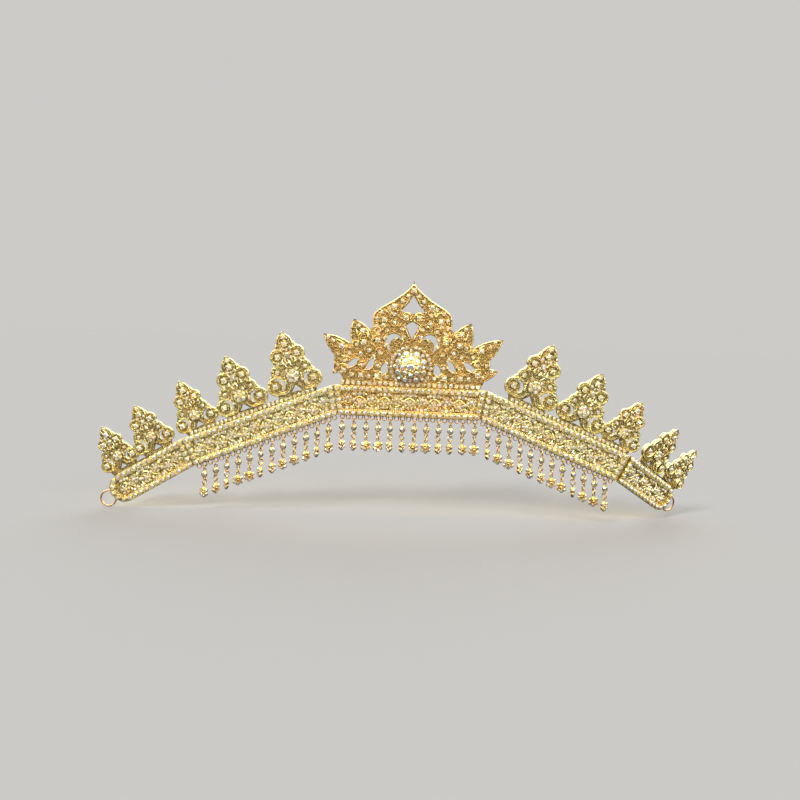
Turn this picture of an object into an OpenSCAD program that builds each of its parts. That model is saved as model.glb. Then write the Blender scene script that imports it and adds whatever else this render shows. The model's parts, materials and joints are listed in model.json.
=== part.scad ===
// Forehead crown: five hinged gilt panels with pierced crests, cut stones and a fringe of drops.
// Millimetres. X runs to the viewer's right, Y from the viewer towards the forehead, Z up.
// The origin is on the back of the centre panel, at the middle of its band.

/* [Band] */
// Height of the band on every panel
band_h = 15; // [14:0.5:17]
// Length of the centre panel at mid height
centre_len = 74; // [70:1:80]
// Length of each inner panel at mid height
inner_len = 79; // [76:1:84]
// Length of each end panel, to the tip of its round end
end_len = 44.5; // [43:0.5:47]
// Thickness of the pierced plates
plate_t = 1; // [0.8:0.1:1.4]
// Height of the raised curls and borders on the plates
relief_h = 0.6; // [0.4:0.1:0.8]

/* [Fan and folds] */
// Half of the angle between the centre and inner panels, seen from the front
fan_in = 11; // [8:0.5:12]
// Half of the angle between the inner and end panels, seen from the front
fan_out = 4.5; // [2:0.5:6]
// How far back the right inner panel is folded as shown
fold_in = 5; // [0:1:40]
// How far back the right end panel is folded from the inner one as shown
fold_out = 28; // [0:1:40]

/* [Crests] */
// Height of the centre crest above its band
crest_h = 53; // [50:1:56]
// Height of the side crest next to the centre, above its band
side_crest_h = 33.5; // [30:0.5:36]
// Width of the side crest next to the centre
side_crest_w = 27.5; // [26:0.5:28]

/* [Stones] */
// Pitch of the small stones along the borders
border_pitch = 3.1; // [2.8:0.1:3.6]
// Radius of a main stone at its girdle
stone_r = 1.05; // [0.9:0.05:1.2]
// Width of the metal round a stone
cup_wall = 0.3; // [0.25:0.05:0.4]
// Radius of the flower on the centre crest
rosette_r = 8.5; // [8:0.5:9]

/* [Fringe] */
// Pitch of the hanging rings under the band
ring_pitch = 3.05; // [2.9:0.05:3.05]
// Radius of the stone link's cup
link_r = 1.65; // [1.4:0.05:1.8]
// Radius of the flower at the end of a drop
flower_r = 2.85; // [2.6:0.05:2.9]
// Radius of the wire in the drops
wire_r = 0.24; // [0.2:0.01:0.25]

/* [Hinges and ties] */
// Radius of a hinge knuckle
knuckle_r = 1.2; // [1.1:0.05:1.3]
// Radius of a hinge pin
pin_r = 0.5; // [0.4:0.05:0.6]
// Radius of a tie loop, to the middle of its wire
tie_r = 3.9; // [3.8:0.1:4.5]

/* [Hidden] */
$fn = 48;
gold = [0.85, 0.62, 0.22];
crystal = [0.92, 0.93, 0.95];

fit = 0.12;            // gap between loose pieces
sink = 0.2;            // how deep a soldered piece is sunk into what carries it
joint_gap = 0.5;       // between the plates at a hinge
hinge_y = knuckle_r + 0.1;
ledge_w = 2.9;         // width of the raised border
ridge_w = 0.8;         // width of a raised curl
half_h = band_h / 2;
relief_y = plate_t + relief_h;
cup_h = 1.1;           // height of a stone's cup above the plate
stone_h = 1.3;         // height of a main stone, point to table
seat_depth = 0.75;     // depth of a stone's seat below the cup's rim
tie_wire_r = 0.4;

// Side crests from the hinge outwards: x from the hinge, width and height as shares of the first
// one's, and lean towards the middle. The two sides differ a little, as on the hand-made original.
CREST_X = 0;
CREST_W = 1;
CREST_H = 2;
CREST_LEAN = 3;
INNER_CRESTS_LEFT = [[17, 1, 1, 5], [44.6, 0.96, 0.935, -0.5], [68.8, 0.8, 0.825, -5]];
INNER_CRESTS_RIGHT = [[19.6, 1.03, 1.03, -0.5], [47.7, 0.96, 0.95, -2.5], [70.8, 0.8, 0.815, -7]];
END_CRESTS_LEFT = [[12.5, 0.8, 0.77, 0.5], [32.4, 0.72, 0.73, 1]];
END_CRESTS_RIGHT = [[14.4, 0.8, 0.8, -12], [36, 0.7, 0.73, -14]];
// Height of the strip that joins the feet of a panel's crests, on an inner and on an end panel.
inner_foot = 0.065 * side_crest_h;
end_foot = 0.024 * side_crest_h;

// The panels: length, lean of the inboard edge and of the outboard edge, round end, hanging rings, crests.
LEN = 0;
LEAN_IN = 1;
LEAN_OUT = 2;
ROUND = 3;
RINGS = 4;
CRESTS = 5;
CENTRE = [centre_len, fan_in, fan_in, false, 23, []];
INNER_LEFT = [inner_len, fan_in, fan_out, false, 25, INNER_CRESTS_LEFT];
INNER_RIGHT = [inner_len, fan_in, fan_out, false, 25, INNER_CRESTS_RIGHT];
END_LEFT = [end_len, fan_out, 0, true, 0, END_CRESTS_LEFT];
END_RIGHT = [end_len, fan_out, 0, true, 0, END_CRESTS_RIGHT];

// The lobes of a side crest, as shares of its width (x and radius) and height (y).
// Columns: x, y, radius, start and end angle of its curl on the right half.
LOBE_X = 0;
LOBE_Y = 1;
LOBE_R = 2;
CURL_FROM = 3;
CURL_TO = 4;
SIDE_LOBES = [
    [0.335, 0.23, 0.18, -140, 110],
    [0.262, 0.43, 0.12, -50, 140],
    [0.18, 0.655, 0.145, -50, 170],
];
// Main stones of a side crest on its right half: x as a share of width, y as a share of height.
SIDE_STONES = [[0.36, 0.235], [0.18, 0.65]];
// Main stones of a side crest on its axis: y as a share of height.
AXIS_STONES = [0.82];

// Leaves of the centre crest, drawn on the right: base x, base y, tip x, tip y, width.
CENTRE_LEAVES_LEFT = [
    [19, 11, 29.4, 33.4, 11.5],
    [22, 8, 44.4, 25.5, 10],
];
CENTRE_LEAVES_RIGHT = [
    [19, 11, 29.4, 33.4, 11.5],
    [22, 8, 45.8, 25.7, 10],
    [24, 4.5, 43.9, 9.8, 7.6],
];
// Edge of the crest below its leaves, drawn on the right, from the band upward.
CENTRE_EDGE_LEFT = [
    [34.6, -0.5], [34.6, 2.3], [33.9, 3.8], [35.9, 6.4], [36.7, 7.6], [38.6, 8.2], [38.6, 16],
];
CENTRE_EDGE_RIGHT = [[34.5, -0.5], [39.8, 9], [39.8, 13], [39.4, 16.6]];
// Knob below the leaves on the left, drawn on the right: middle x, middle y, radius.
CENTRE_KNOB = [38, 7, 1.5];
// Gaps of the centre crest on its right half: middle x, middle y, length, width, angle.
CENTRE_GAPS = [
    [13.3, 9, 6.6, 3.2, 105],
    [20.3, 11.2, 7, 2.8, 120],
    [29.3, 11.4, 7.6, 2.6, 140],
];
// Curls of the centre crest on its right half: x, y, radius, start and end angle.
CENTRE_CURLS = [
    [3.4, 34.8, 3, -60, 200],
    [13.6, 33.4, 5.2, -80, 140],
    [17.2, 22.6, 3.6, -110, 120],
    [6.3, 22.4, 2.6, -60, 200],
    [24, 24, 3.2, -60, 190],
    [32, 17.6, 3, -90, 170],
    [17, 5.2, 3, 20, 290],
    [25, 5.4, 2.6, -20, 250],
    [33.4, 7.6, 2.4, -100, 150],
];
// Main stones of the centre crest on its right half: x, y.
CENTRE_STONES = [
    [3.4, 34.8], [9.5, 40.3], [14.2, 33.6], [17, 23.4],
    [24.6, 27.6], [24, 22], [35, 19.8], [17, 5.2], [25, 5.4], [33.6, 7.6],
];

DROPS = 12;
FRINGES = ["left", "centre", "right"];

// Turns a point about the Y axis, clockwise as the viewer sees it.
function turn_y(p, a) = [p.x * cos(a) + p.z * sin(a), p.y, p.z * cos(a) - p.x * sin(a)];
// Turns a point about the Z axis.
function turn_z(p, a) = [p.x * cos(a) - p.y * sin(a), p.x * sin(a) + p.y * cos(a), p.z];
// A point of an inner panel on the right, in the crown's frame.
function inner_point(p, fold) = [(centre_len + joint_gap) / 2, 0, 0]
    + turn_y(turn_z(turn_y(p, fan_in) - [0, hinge_y, 0], fold) + [0, hinge_y, 0], fan_in);
// A point on a cubic curve.
function cubic(a, b, c, d, t) =
    a * pow(1 - t, 3) + b * 3 * t * pow(1 - t, 2) + c * 3 * t * t * (1 - t) + d * pow(t, 3);
// The ends of a panel's band at height z, moved in by inset.
function band_from(panel, z, inset = 0) = panel == CENTRE
    ? -band_to(panel, z, inset)
    : joint_gap / 2 - z * tan(panel[LEAN_IN]) + inset / cos(panel[LEAN_IN]);
function band_to(panel, z, inset = 0) = (panel == CENTRE ? panel[LEN] / 2 : joint_gap / 2 + panel[LEN])
    + z * tan(panel[LEAN_OUT]) - inset / cos(panel[LEAN_OUT]);
// Evenly spaced places from a to b, at about the border's pitch.
function row(a, b) = let (n = round(abs(b - a) / border_pitch)) [for (i = [0 : n]) a + (b - a) * i / n];
// Angle of a drop's turning about its own length, the same each time and different for neighbours.
function drop_twist(i) = sin(i * 137.5);

// Places a side: -1 is the viewer's left, which mirrors the right.
module on_side(side) {
    if (side < 0) mirror([1, 0, 0]) children();
    else children();
}

// Folds what is outboard of a hinge whose line leans by lean.
module folded(lean, fold) {
    rotate([0, lean, 0]) translate([0, hinge_y, 0]) rotate([0, 0, fold])
        translate([0, -hinge_y, 0]) rotate([0, lean, 0]) children();
}

module place_inner(side) {
    on_side(side) translate([(centre_len + joint_gap) / 2, 0, 0])
        folded(fan_in, side > 0 ? fold_in : 0) children();
}

module place_end(side) {
    place_inner(side) translate([inner_len + joint_gap, 0, 0])
        folded(fan_out, side > 0 ? fold_out : 0) children();
}

// Extrudes a flat shape, drawn as the viewer sees it, from depth a to depth b in front of the back plane.
module layer(a, b) {
    translate([0, -a, 0]) rotate([90, 0, 0]) linear_extrude(b - a) children();
}

// Puts a piece made along +Z at a place on the plate, pointing at the viewer.
module facing(x, z, depth) {
    translate([x, -depth, z]) rotate([90, 0, 0]) children();
}

// Both halves of what is drawn on the right of an axis.
module both() {
    children();
    mirror([1, 0, 0]) children();
}

// Leaf between two points: two arcs that meet in a point at each end.
module leaf(a, b, width) {
    length = norm(b - a);
    r = (length * length + width * width) / (4 * width);
    translate((a + b) / 2) rotate(atan2(b.y - a.y, b.x - a.x)) intersection() {
        translate([0, r - width / 2]) circle(r, $fn = 96);
        translate([0, width / 2 - r]) circle(r, $fn = 96);
    }
}

// Leaf-shaped gap about its middle.
module leaf_at(x, y, length, width, angle) {
    reach = [cos(angle), sin(angle)] * length / 2;
    leaf([x, y] - reach, [x, y] + reach, width);
}

// Raised arc, a curl seen from the front.
module curl(r, from, to) {
    rotate(from) rotate_extrude(angle = to - from)
        translate([r - ridge_w, 0]) square([ridge_w, relief_h + sink]);
}

// Outline of a panel's band, moved in by inset.
module band_shape(panel, inset = 0) {
    z = half_h - inset;
    if (panel[ROUND]) {
        tip_x = joint_gap / 2 + end_len - half_h;
        polygon([
            [band_from(panel, -z, inset), -z], [tip_x, -z], [tip_x, z], [band_from(panel, z, inset), z]
        ]);
        translate([tip_x, 0]) circle(z);
    } else {
        polygon([
            [band_from(panel, -z, inset), -z], [band_to(panel, -z, inset), -z],
            [band_to(panel, z, inset), z], [band_from(panel, z, inset), z],
        ]);
    }
}

// Cup for a stone: a boss with a seat cut into it.
module cup_boss(r) {
    cylinder(r = r + fit + cup_wall, h = cup_h + sink);
}

module cup_seat(r) {
    translate([0, 0, sink + cup_h - seat_depth]) cylinder(r = r + fit, h = seat_depth + 1);
}

// Cut stone, point down: a table, eight crown facets and eight pavilion facets.
module stone(r, h) {
    table_r = 0.58 * r;
    girdle_z = 0.5 * h;
    ring = [for (i = [0 : 7]) [cos(i * 45), sin(i * 45)]];
    polyhedron(
        points = concat(
            [[0, 0, 0]],
            [for (p = ring) [p.x * r, p.y * r, girdle_z]],
            [for (p = ring) [p.x * table_r, p.y * table_r, h]]
        ),
        faces = concat(
            [for (i = [0 : 7]) [0, 1 + i, 1 + (i + 1) % 8]],
            [for (i = [0 : 7]) [1 + i, 9 + i, 9 + (i + 1) % 8, 1 + (i + 1) % 8]],
            [[for (i = [0 : 7]) 16 - i]]
        )
    );
}

// Stone in its seat on a plate, seen from the front.
module seated_stone(x, z, r = stone_r) {
    facing(x, z, plate_t + cup_h - seat_depth + fit) color(crystal) stone(r, stone_h * r / stone_r);
}

// Outline of a side crest of width w and height h, standing on y = 0, with its gaps cut above the foot.
module side_crest_shape(w, h, foot) {
    scroll = SIDE_LOBES[0];
    eye = [scroll[LOBE_X] * w, scroll[LOBE_Y] * h];
    difference() {
        union() {
            both() for (lobe = SIDE_LOBES)
                translate([lobe[LOBE_X] * w, lobe[LOBE_Y] * h]) circle(lobe[LOBE_R] * w);
            polygon([
                [-0.32 * w, -0.5], [0.32 * w, -0.5], [0.38 * w, 0.1 * h], [0.42 * w, 0.3 * h],
                [0.32 * w, 0.5 * h], [0.26 * w, 0.67 * h], [0.14 * w, 0.79 * h],
                [-0.14 * w, 0.79 * h], [-0.26 * w, 0.67 * h], [-0.32 * w, 0.5 * h],
                [-0.42 * w, 0.3 * h], [-0.38 * w, 0.1 * h],
            ]);
            leaf([0, 0.62 * h], [0, h], 0.31 * w);
        }
        both() difference() {
            translate(eye + [-0.042, 0.015] * w) circle(0.126 * w);
            translate(eye + [0.033, -0.012] * w) circle(0.126 * w);
        }
        translate([0, foot]) polygon([[-0.1 * w, 0.03 * h], [0.1 * w, 0.03 * h], [0, 0.125 * h]]);
    }
}

// Raised curls and cup bosses of a side crest.
module side_crest_relief(w, h) {
    both() for (lobe = SIDE_LOBES)
        translate([lobe[LOBE_X] * w, lobe[LOBE_Y] * h, 0])
            curl(lobe[LOBE_R] * w - 0.1, lobe[CURL_FROM], lobe[CURL_TO]);
    both() for (p = SIDE_STONES) translate([p.x * w, p.y * h, 0]) cup_boss(stone_r);
    for (y = AXIS_STONES) translate([0, y * h, 0]) cup_boss(stone_r);
    translate([0, 0.33 * h, 0]) cylinder(r = 0.12 * w, h = relief_h + sink);
    translate([0, 0.65 * h, 0]) cylinder(r = 0.06 * w, h = relief_h + sink);
}

module side_crest_seats(w, h) {
    both() for (p = SIDE_STONES) translate([p.x * w, p.y * h, 0]) cup_seat(stone_r);
    for (y = AXIS_STONES) translate([0, y * h, 0]) cup_seat(stone_r);
}

// Lotus-bud arch of the centre crest, from its tip down to the side leaves.
module arch() {
    steps = 10;
    tip = [0, crest_h];
    waist = [9, crest_h - 9];
    shoulder = [19.9, crest_h - 19.4];
    right = concat(
        [for (i = [0 : steps]) cubic(tip, tip + [1.5, -4], waist + [-3, 2.5], waist, i / steps)],
        [for (i = [1 : steps]) cubic(waist, waist + [5, -3.4], shoulder + [0.3, 5], shoulder, i / steps)],
        [[19.4, 27], [19, 18]]
    );
    last = len(right) - 1;
    polygon(concat(right, [for (i = [0 : last - 1]) [-right[last - i].x, right[last - i].y]]));
}

// Outline of the centre crest, standing on y = 0, with its gaps cut.
module centre_crest_shape() {
    apex = crest_h - 7;
    pair = CENTRE_CURLS[0];
    difference() {
        union() {
            arch();
            for (s = [-1, 1]) on_side(s) {
                for (l = s < 0 ? CENTRE_LEAVES_LEFT : CENTRE_LEAVES_RIGHT)
                    leaf([l[0], l[1]], [l[2], l[3]], l[4]);
                polygon(concat(
                    [[-0.5, -0.5]],
                    s < 0 ? CENTRE_EDGE_LEFT : CENTRE_EDGE_RIGHT,
                    [[30.6, 21], [19, 30], [-0.5, 30]]
                ));
            }
            translate([-CENTRE_KNOB[0], CENTRE_KNOB[1]]) circle(CENTRE_KNOB[2]);
        }
        both() for (g = CENTRE_GAPS) leaf_at(g[0], g[1], g[2], g[3], g[4]);
        both() difference() {
            translate([9, 22.3]) circle(4.4);
            translate([7.6, 20.7]) circle(3.7);
        }
        difference() {
            polygon([
                [0, apex], [2.2, apex - 3.6], [5.6, apex - 7.4], [5.4, apex - 9],
                [-5.4, apex - 9], [-5.6, apex - 7.4], [-2.2, apex - 3.6],
            ]);
            both() translate([pair[0], pair[1]]) circle(pair[2] + 0.2);
        }
        polygon([[0, 24.3], [1.9, 28], [3.2, 31.2], [0, 33], [-3.2, 31.2], [-1.9, 28]]);
        translate([0, rosette_z() - half_h]) circle(rivet_hole_r);
    }
}

module centre_crest_relief() {
    both() {
        for (c = CENTRE_CURLS) translate([c[0], c[1], 0]) curl(c[2], c[3], c[4]);
        for (p = CENTRE_STONES) translate([p.x, p.y, 0]) cup_boss(stone_r);
    }
    translate([0, crest_h - 4.6, 0]) cup_boss(stone_r);
    translate([-CENTRE_KNOB[0], CENTRE_KNOB[1], 0]) cylinder(r = CENTRE_KNOB[2] - 0.6, h = relief_h + sink);
}

module centre_crest_seats() {
    both() for (p = CENTRE_STONES) translate([p.x, p.y, 0]) cup_seat(stone_r);
    translate([0, crest_h - 4.6, 0]) cup_seat(stone_r);
}

// Flower-shaped bosses along the middle of a band, above and below its middle by turns.
function band_flowers(panel) = let (
    from = band_from(panel, 0, ledge_w + 2.7),
    to = panel[ROUND] ? joint_gap / 2 + end_len - half_h : band_to(panel, 0, ledge_w + 2.7),
    n = round((to - from) / 6.1)
) [for (i = [0 : n]) [from + (to - from) * i / n, i % 2 == 0 ? 1.2 : -1.2]];

// Small cups round the border of a band. Their stones are too fine to be solids here.
module border_cups(panel) {
    z = half_h - ledge_w / 2;
    inset = ledge_w / 2;
    r = 0.36 * border_pitch;
    tip_x = joint_gap / 2 + end_len - half_h;
    for (s = [-1, 1])
        for (x = row(band_from(panel, s * z, inset), panel[ROUND] ? tip_x : band_to(panel, s * z, inset)))
            translate([x, s * z, 0]) cylinder(r = r, h = relief_h + 0.3);
    for (y = [-z / 2, 0, z / 2]) {
        translate([band_from(panel, y, inset), y, 0]) cylinder(r = r, h = relief_h + 0.3);
        if (!panel[ROUND]) translate([band_to(panel, y, inset), y, 0]) cylinder(r = r, h = relief_h + 0.3);
    }
    if (panel[ROUND]) for (a = [-60 : 30 : 60])
        translate([tip_x + z * cos(a), z * sin(a), 0]) cylinder(r = r, h = relief_h + 0.3);
}

// Row of hanging rings soldered under a band, with a thin strip behind their tops.
ring_out = 1.3;
ring_hole = 0.85;
rail_t = 0.5;
rail_drop = half_h + ring_out - 0.35; // from the band's middle to the rings' centres
rail_strip = 0.7;                     // height of the strip, most of it behind the band's edge
function ring_x(panel, i) = (band_from(panel, -half_h) + band_to(panel, -half_h)) / 2
    + (i - (panel[RINGS] - 1) / 2) * ring_pitch;

module rail(panel) {
    strip_len = ring_x(panel, panel[RINGS] - 1) - ring_x(panel, 0);
    translate([0, -(plate_t - rail_t) / 2, 0]) layer(0, rail_t) difference() {
        union() {
            for (i = [0 : panel[RINGS] - 1]) translate([ring_x(panel, i), -rail_drop]) circle(ring_out);
            translate([ring_x(panel, 0), -half_h - rail_strip / 2]) square([strip_len, rail_strip]);
        }
        for (i = [0 : panel[RINGS] - 1]) translate([ring_x(panel, i), -rail_drop]) circle(ring_hole);
    }
}

// Hinge knuckle from height a to b on the hinge line, with its leaf running to side.
leaf_len = 5.5;
leaf_t = 0.6;
module knuckle(a, b, side) {
    translate([0, hinge_y, a]) difference() {
        cylinder(r = knuckle_r, h = b - a);
        translate([0, 0, -1]) cylinder(r = pin_r + 0.05, h = b - a + 2);
    }
    translate([side < 0 ? -leaf_len : 0, -sink, a]) cube([leaf_len, leaf_t + sink, b - a]);
}

knuckle_end = 6.5;
knuckle_mid = 2.2;
// Two knuckles on the inboard panel and one between them on the outboard panel.
module inboard_knuckles() {
    for (s = [-1, 1]) {
        a = min(s * knuckle_end, s * (knuckle_mid + 0.2));
        knuckle(a, a + knuckle_end - knuckle_mid - 0.2, -1);
    }
}

module outboard_knuckle() {
    knuckle(-knuckle_mid, knuckle_mid, 1);
}

// Pin of a hinge, with a small head at each end.
module hinge_pin() {
    head_h = 0.5;
    color(gold) translate([0, hinge_y, 0]) {
        cylinder(r = pin_r, h = 2 * knuckle_end + 2 * fit + head_h, center = true);
        for (s = [-1, 1]) translate([0, 0, s * (knuckle_end + fit + head_h / 2)])
            cylinder(r = 0.8 * knuckle_r, h = head_h, center = true);
    }
}

// What every plate has: the band, its border, its flowers and its small cups.
module band(panel) {
    layer(0, plate_t) band_shape(panel);
    layer(plate_t - sink, relief_y) difference() {
        band_shape(panel);
        band_shape(panel, ledge_w);
    }
    facing(0, 0, relief_y - sink) border_cups(panel);
    for (f = band_flowers(panel)) facing(f.x, f.y, plate_t - sink) {
        curl(2.75, 0, 360);
        cylinder(r = 1.2, h = relief_h + 0.3 + sink);
    }
}

// Places what stands on a panel at one of its side crests.
module on_crest(crest) {
    translate([crest[CREST_X], 0, half_h]) rotate([0, -crest[CREST_LEAN], 0]) children();
}

// Side crests of a panel, and the strip that joins their feet.
module side_crests(panel) {
    crests = panel[CRESTS];
    first = crests[0];
    last = crests[len(crests) - 1];
    foot = panel[ROUND] ? end_foot : inner_foot;
    translate([0, 0, half_h]) layer(0, plate_t) translate([first[CREST_X], -0.5])
        square([last[CREST_X] - first[CREST_X], foot + 0.5]);
    for (crest = crests) {
        w = side_crest_w * crest[CREST_W];
        h = side_crest_h * crest[CREST_H];
        on_crest(crest) {
            layer(0, plate_t) side_crest_shape(w, h, foot);
            facing(0, 0, plate_t - sink) difference() {
                side_crest_relief(w, h);
                side_crest_seats(w, h);
            }
        }
    }
}

rivet_r = 1;
rivet_hole_r = 1.1;
function rosette_z() = half_h + 10.5;

module centre_plate() {
    color(gold) {
        band(CENTRE);
        translate([0, 0, half_h]) {
            layer(0, plate_t) centre_crest_shape();
            facing(0, 0, plate_t - sink) difference() {
                centre_crest_relief();
                centre_crest_seats();
            }
        }
        rail(CENTRE);
        for (s = [-1, 1]) on_side(s) translate([(centre_len + joint_gap) / 2, 0, 0]) rotate([0, fan_in, 0])
            inboard_knuckles();
    }
}

module inner_plate(panel) {
    color(gold) {
        band(panel);
        side_crests(panel);
        rail(panel);
        rotate([0, -fan_in, 0]) outboard_knuckle();
        translate([inner_len + joint_gap, 0, 0]) rotate([0, fan_out, 0]) inboard_knuckles();
    }
}

module end_plate(panel) {
    color(gold) {
        band(panel);
        side_crests(panel);
        rotate([0, -fan_out, 0]) outboard_knuckle();
    }
}

// Main stones of a panel's side crests.
module side_stones(panel) {
    for (crest = panel[CRESTS]) {
        w = side_crest_w * crest[CREST_W];
        h = side_crest_h * crest[CREST_H];
        on_crest(crest) {
            for (p = SIDE_STONES) for (s = [-1, 1]) seated_stone(s * p.x * w, p.y * h);
            for (y = AXIS_STONES) seated_stone(0, y * h);
        }
    }
}

module centre_stones() {
    for (p = CENTRE_STONES) for (s = [-1, 1]) seated_stone(s * p.x, half_h + p.y);
    seated_stone(0, half_h + crest_h - 4.6);
}

// Flower riveted to the centre crest: petals, a raised heart, cups, and a rivet through the plate.
petals = 8;
petal_ring_r = 0.68 * rosette_r;
heart_r = 0.62 * rosette_r;
heart_h = 1.6;
petal_h = 1.1;
inner_ring_r = 0.43 * rosette_r;
rosette_base = relief_y + 0.8; // clear of the plate's curls
module rosette_place() {
    translate([0, -rosette_base, rosette_z()]) rotate([90, 0, 0]) children();
}

module rosette() {
    color(gold) rosette_place() {
        difference() {
            union() {
                for (i = [0 : petals - 1]) rotate((i + 0.5) * 360 / petals) translate([petal_ring_r, 0, 0])
                    cylinder(r = 0.31 * rosette_r, h = petal_h);
                cylinder(r = heart_r, h = petal_h + heart_h);
            }
            for (i = [0 : petals - 1]) {
                rotate((i + 0.5) * 360 / petals) translate([0.8 * rosette_r, 0, petal_h - seat_depth])
                    cylinder(r = stone_r + fit, h = 3);
                rotate(i * 360 / petals) translate([inner_ring_r, 0, petal_h + heart_h - seat_depth])
                    cylinder(r = stone_r + fit, h = 3);
            }
            translate([0, 0, petal_h + heart_h - seat_depth]) cylinder(r = 1.9 * stone_r + fit, h = 3);
        }
        translate([0, 0, -rosette_base - fit]) cylinder(r = rivet_r, h = rosette_base + petal_h);
        translate([0, 0, -rosette_base - fit - 0.6]) cylinder(r = 1.8 * rivet_r, h = 0.6);
    }
}

module rosette_stones() {
    color(crystal) rosette_place() {
        for (i = [0 : petals - 1]) {
            rotate((i + 0.5) * 360 / petals) translate([0.8 * rosette_r, 0, petal_h - seat_depth + fit])
                stone(stone_r, stone_h);
            rotate(i * 360 / petals) translate([inner_ring_r, 0, petal_h + heart_h - seat_depth + fit])
                stone(stone_r, stone_h);
        }
        translate([0, 0, petal_h + heart_h - seat_depth + fit]) stone(1.9 * stone_r, 1.6 * stone_h);
    }
}

// Ring of wire in the XZ plane, centred on the origin.
module wire_ring(r, wire = wire_r) {
    rotate([90, 0, 0]) rotate_extrude() translate([r, 0]) circle(wire);
}

// One drop of the fringe: jump ring, stone link, ring and flower, hanging from the middle of a rail ring.
jump_r = 1.15;
eye_r = 0.75;
big_r = 1.45;
hang = 2 * wire_r + fit; // between the middles of two wires that hang in each other
jump_z = -ring_hole + fit + 0.03 + wire_r - jump_r;
link_top = jump_z - jump_r + hang - eye_r;
link_mid = link_top - eye_r - wire_r + 0.3 - link_r;
link_bottom = 2 * link_mid - link_top;
big_z = link_bottom - eye_r + hang - big_r;
flower_eye = big_z - big_r + hang - eye_r;
flower_z = flower_eye - eye_r - wire_r + 0.3 - flower_r;
flower_petals = 6;

module drop(twist) {
    color(gold) {
        rotate(90 + 12 * twist) translate([0, 0, jump_z]) wire_ring(jump_r);
        rotate(30 * twist) {
            for (z = [link_top, link_bottom]) translate([0, 0, z]) wire_ring(eye_r);
            translate([0, 0.6, link_mid]) rotate([90, 0, 0]) {
                cylinder(r = link_r, h = 1.2);
                translate([0, 0, 1.2]) cylinder(r1 = link_r - cup_wall, r2 = 0.6 * link_r, h = 0.7);
            }
        }
        rotate(90 + 50 * twist) translate([0, 0, big_z]) wire_ring(big_r);
        rotate(70 * twist) {
            translate([0, 0, flower_eye]) wire_ring(eye_r);
            translate([0, 0.45, flower_z]) rotate([90, 0, 0]) {
                for (i = [0 : flower_petals - 1]) rotate(90 + i * 360 / flower_petals)
                    translate([0.66 * flower_r, 0, 0]) cylinder(r = 0.34 * flower_r, h = 0.9);
                cylinder(r = 0.42 * flower_r, h = 1.4);
            }
        }
    }
}

// Rail ring that carries drop i, counted from 1: every second ring.
function drop_ring(panel, i) = (panel[RINGS] - 2 * DROPS + 1) / 2 + 2 * (i - 1);

// Drop i of a fringe, hanging straight down from its ring.
module fringe_drop(fringe, i) {
    y = -plate_t / 2;
    twist = drop_twist(i + 5 * fringe);
    if (fringe == 1) {
        translate([ring_x(CENTRE, drop_ring(CENTRE, i)), y, -rail_drop]) drop(twist);
    } else {
        side = fringe - 1;
        panel = side < 0 ? INNER_LEFT : INNER_RIGHT;
        fold = side > 0 ? fold_in : 0;
        p = inner_point([ring_x(panel, drop_ring(panel, i)), y, -rail_drop], fold);
        translate([side * p.x, p.y, p.z]) rotate(fold) drop(twist);
    }
}

// Wire loop for a ribbon or elastic, soldered low on the back of the round end.
tie_angle = -5; // where it sits on the round end, below the band's middle
module tie_loop() {
    reach = half_h + tie_r - 0.8;
    tip_x = joint_gap / 2 + end_len - half_h;
    color(gold) translate([tip_x + reach * cos(tie_angle), tie_wire_r + fit, reach * sin(tie_angle)])
        wire_ring(tie_r, tie_wire_r);
}

centre_plate();
place_inner(-1) inner_plate(INNER_LEFT);  // left_inner_plate
place_inner(1) inner_plate(INNER_RIGHT);  // right_inner_plate
place_end(-1) end_plate(END_LEFT);  // left_end_plate
place_end(1) end_plate(END_RIGHT);  // right_end_plate
centre_stones();
place_inner(-1) side_stones(INNER_LEFT);  // left_inner_stones
place_inner(1) side_stones(INNER_RIGHT);  // right_inner_stones
place_end(-1) side_stones(END_LEFT);  // left_end_stones
place_end(1) side_stones(END_RIGHT);  // right_end_stones
rosette();
rosette_stones();
on_side(-1)  // left_inner_pin
    translate([(centre_len + joint_gap) / 2, 0, 0]) rotate([0, fan_in, 0]) hinge_pin();
translate([(centre_len + joint_gap) / 2, 0, 0]) rotate([0, fan_in, 0]) hinge_pin();  // right_inner_pin
place_inner(-1)  // left_end_pin
    translate([inner_len + joint_gap, 0, 0]) rotate([0, fan_out, 0]) hinge_pin();
place_inner(1)  // right_end_pin
    translate([inner_len + joint_gap, 0, 0]) rotate([0, fan_out, 0]) hinge_pin();
place_end(-1) tie_loop();  // left_tie_loop
place_end(1) tie_loop();  // right_tie_loop
for (f = [0 : 2]) for (i = [1 : DROPS])
    fringe_drop(f, i);
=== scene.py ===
"""Looks of the forehead crown: chased scrolls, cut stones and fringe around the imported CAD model.

Sizes are in millimetres until a piece is made. Ornament is drawn on a sheet that lies on a panel's back
plane: a runs along the band to the viewer's right, b runs up, and c comes out towards the viewer.
"""
import json
import math

import bpy
import numpy as np
from mathutils import Matrix, Vector

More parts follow.
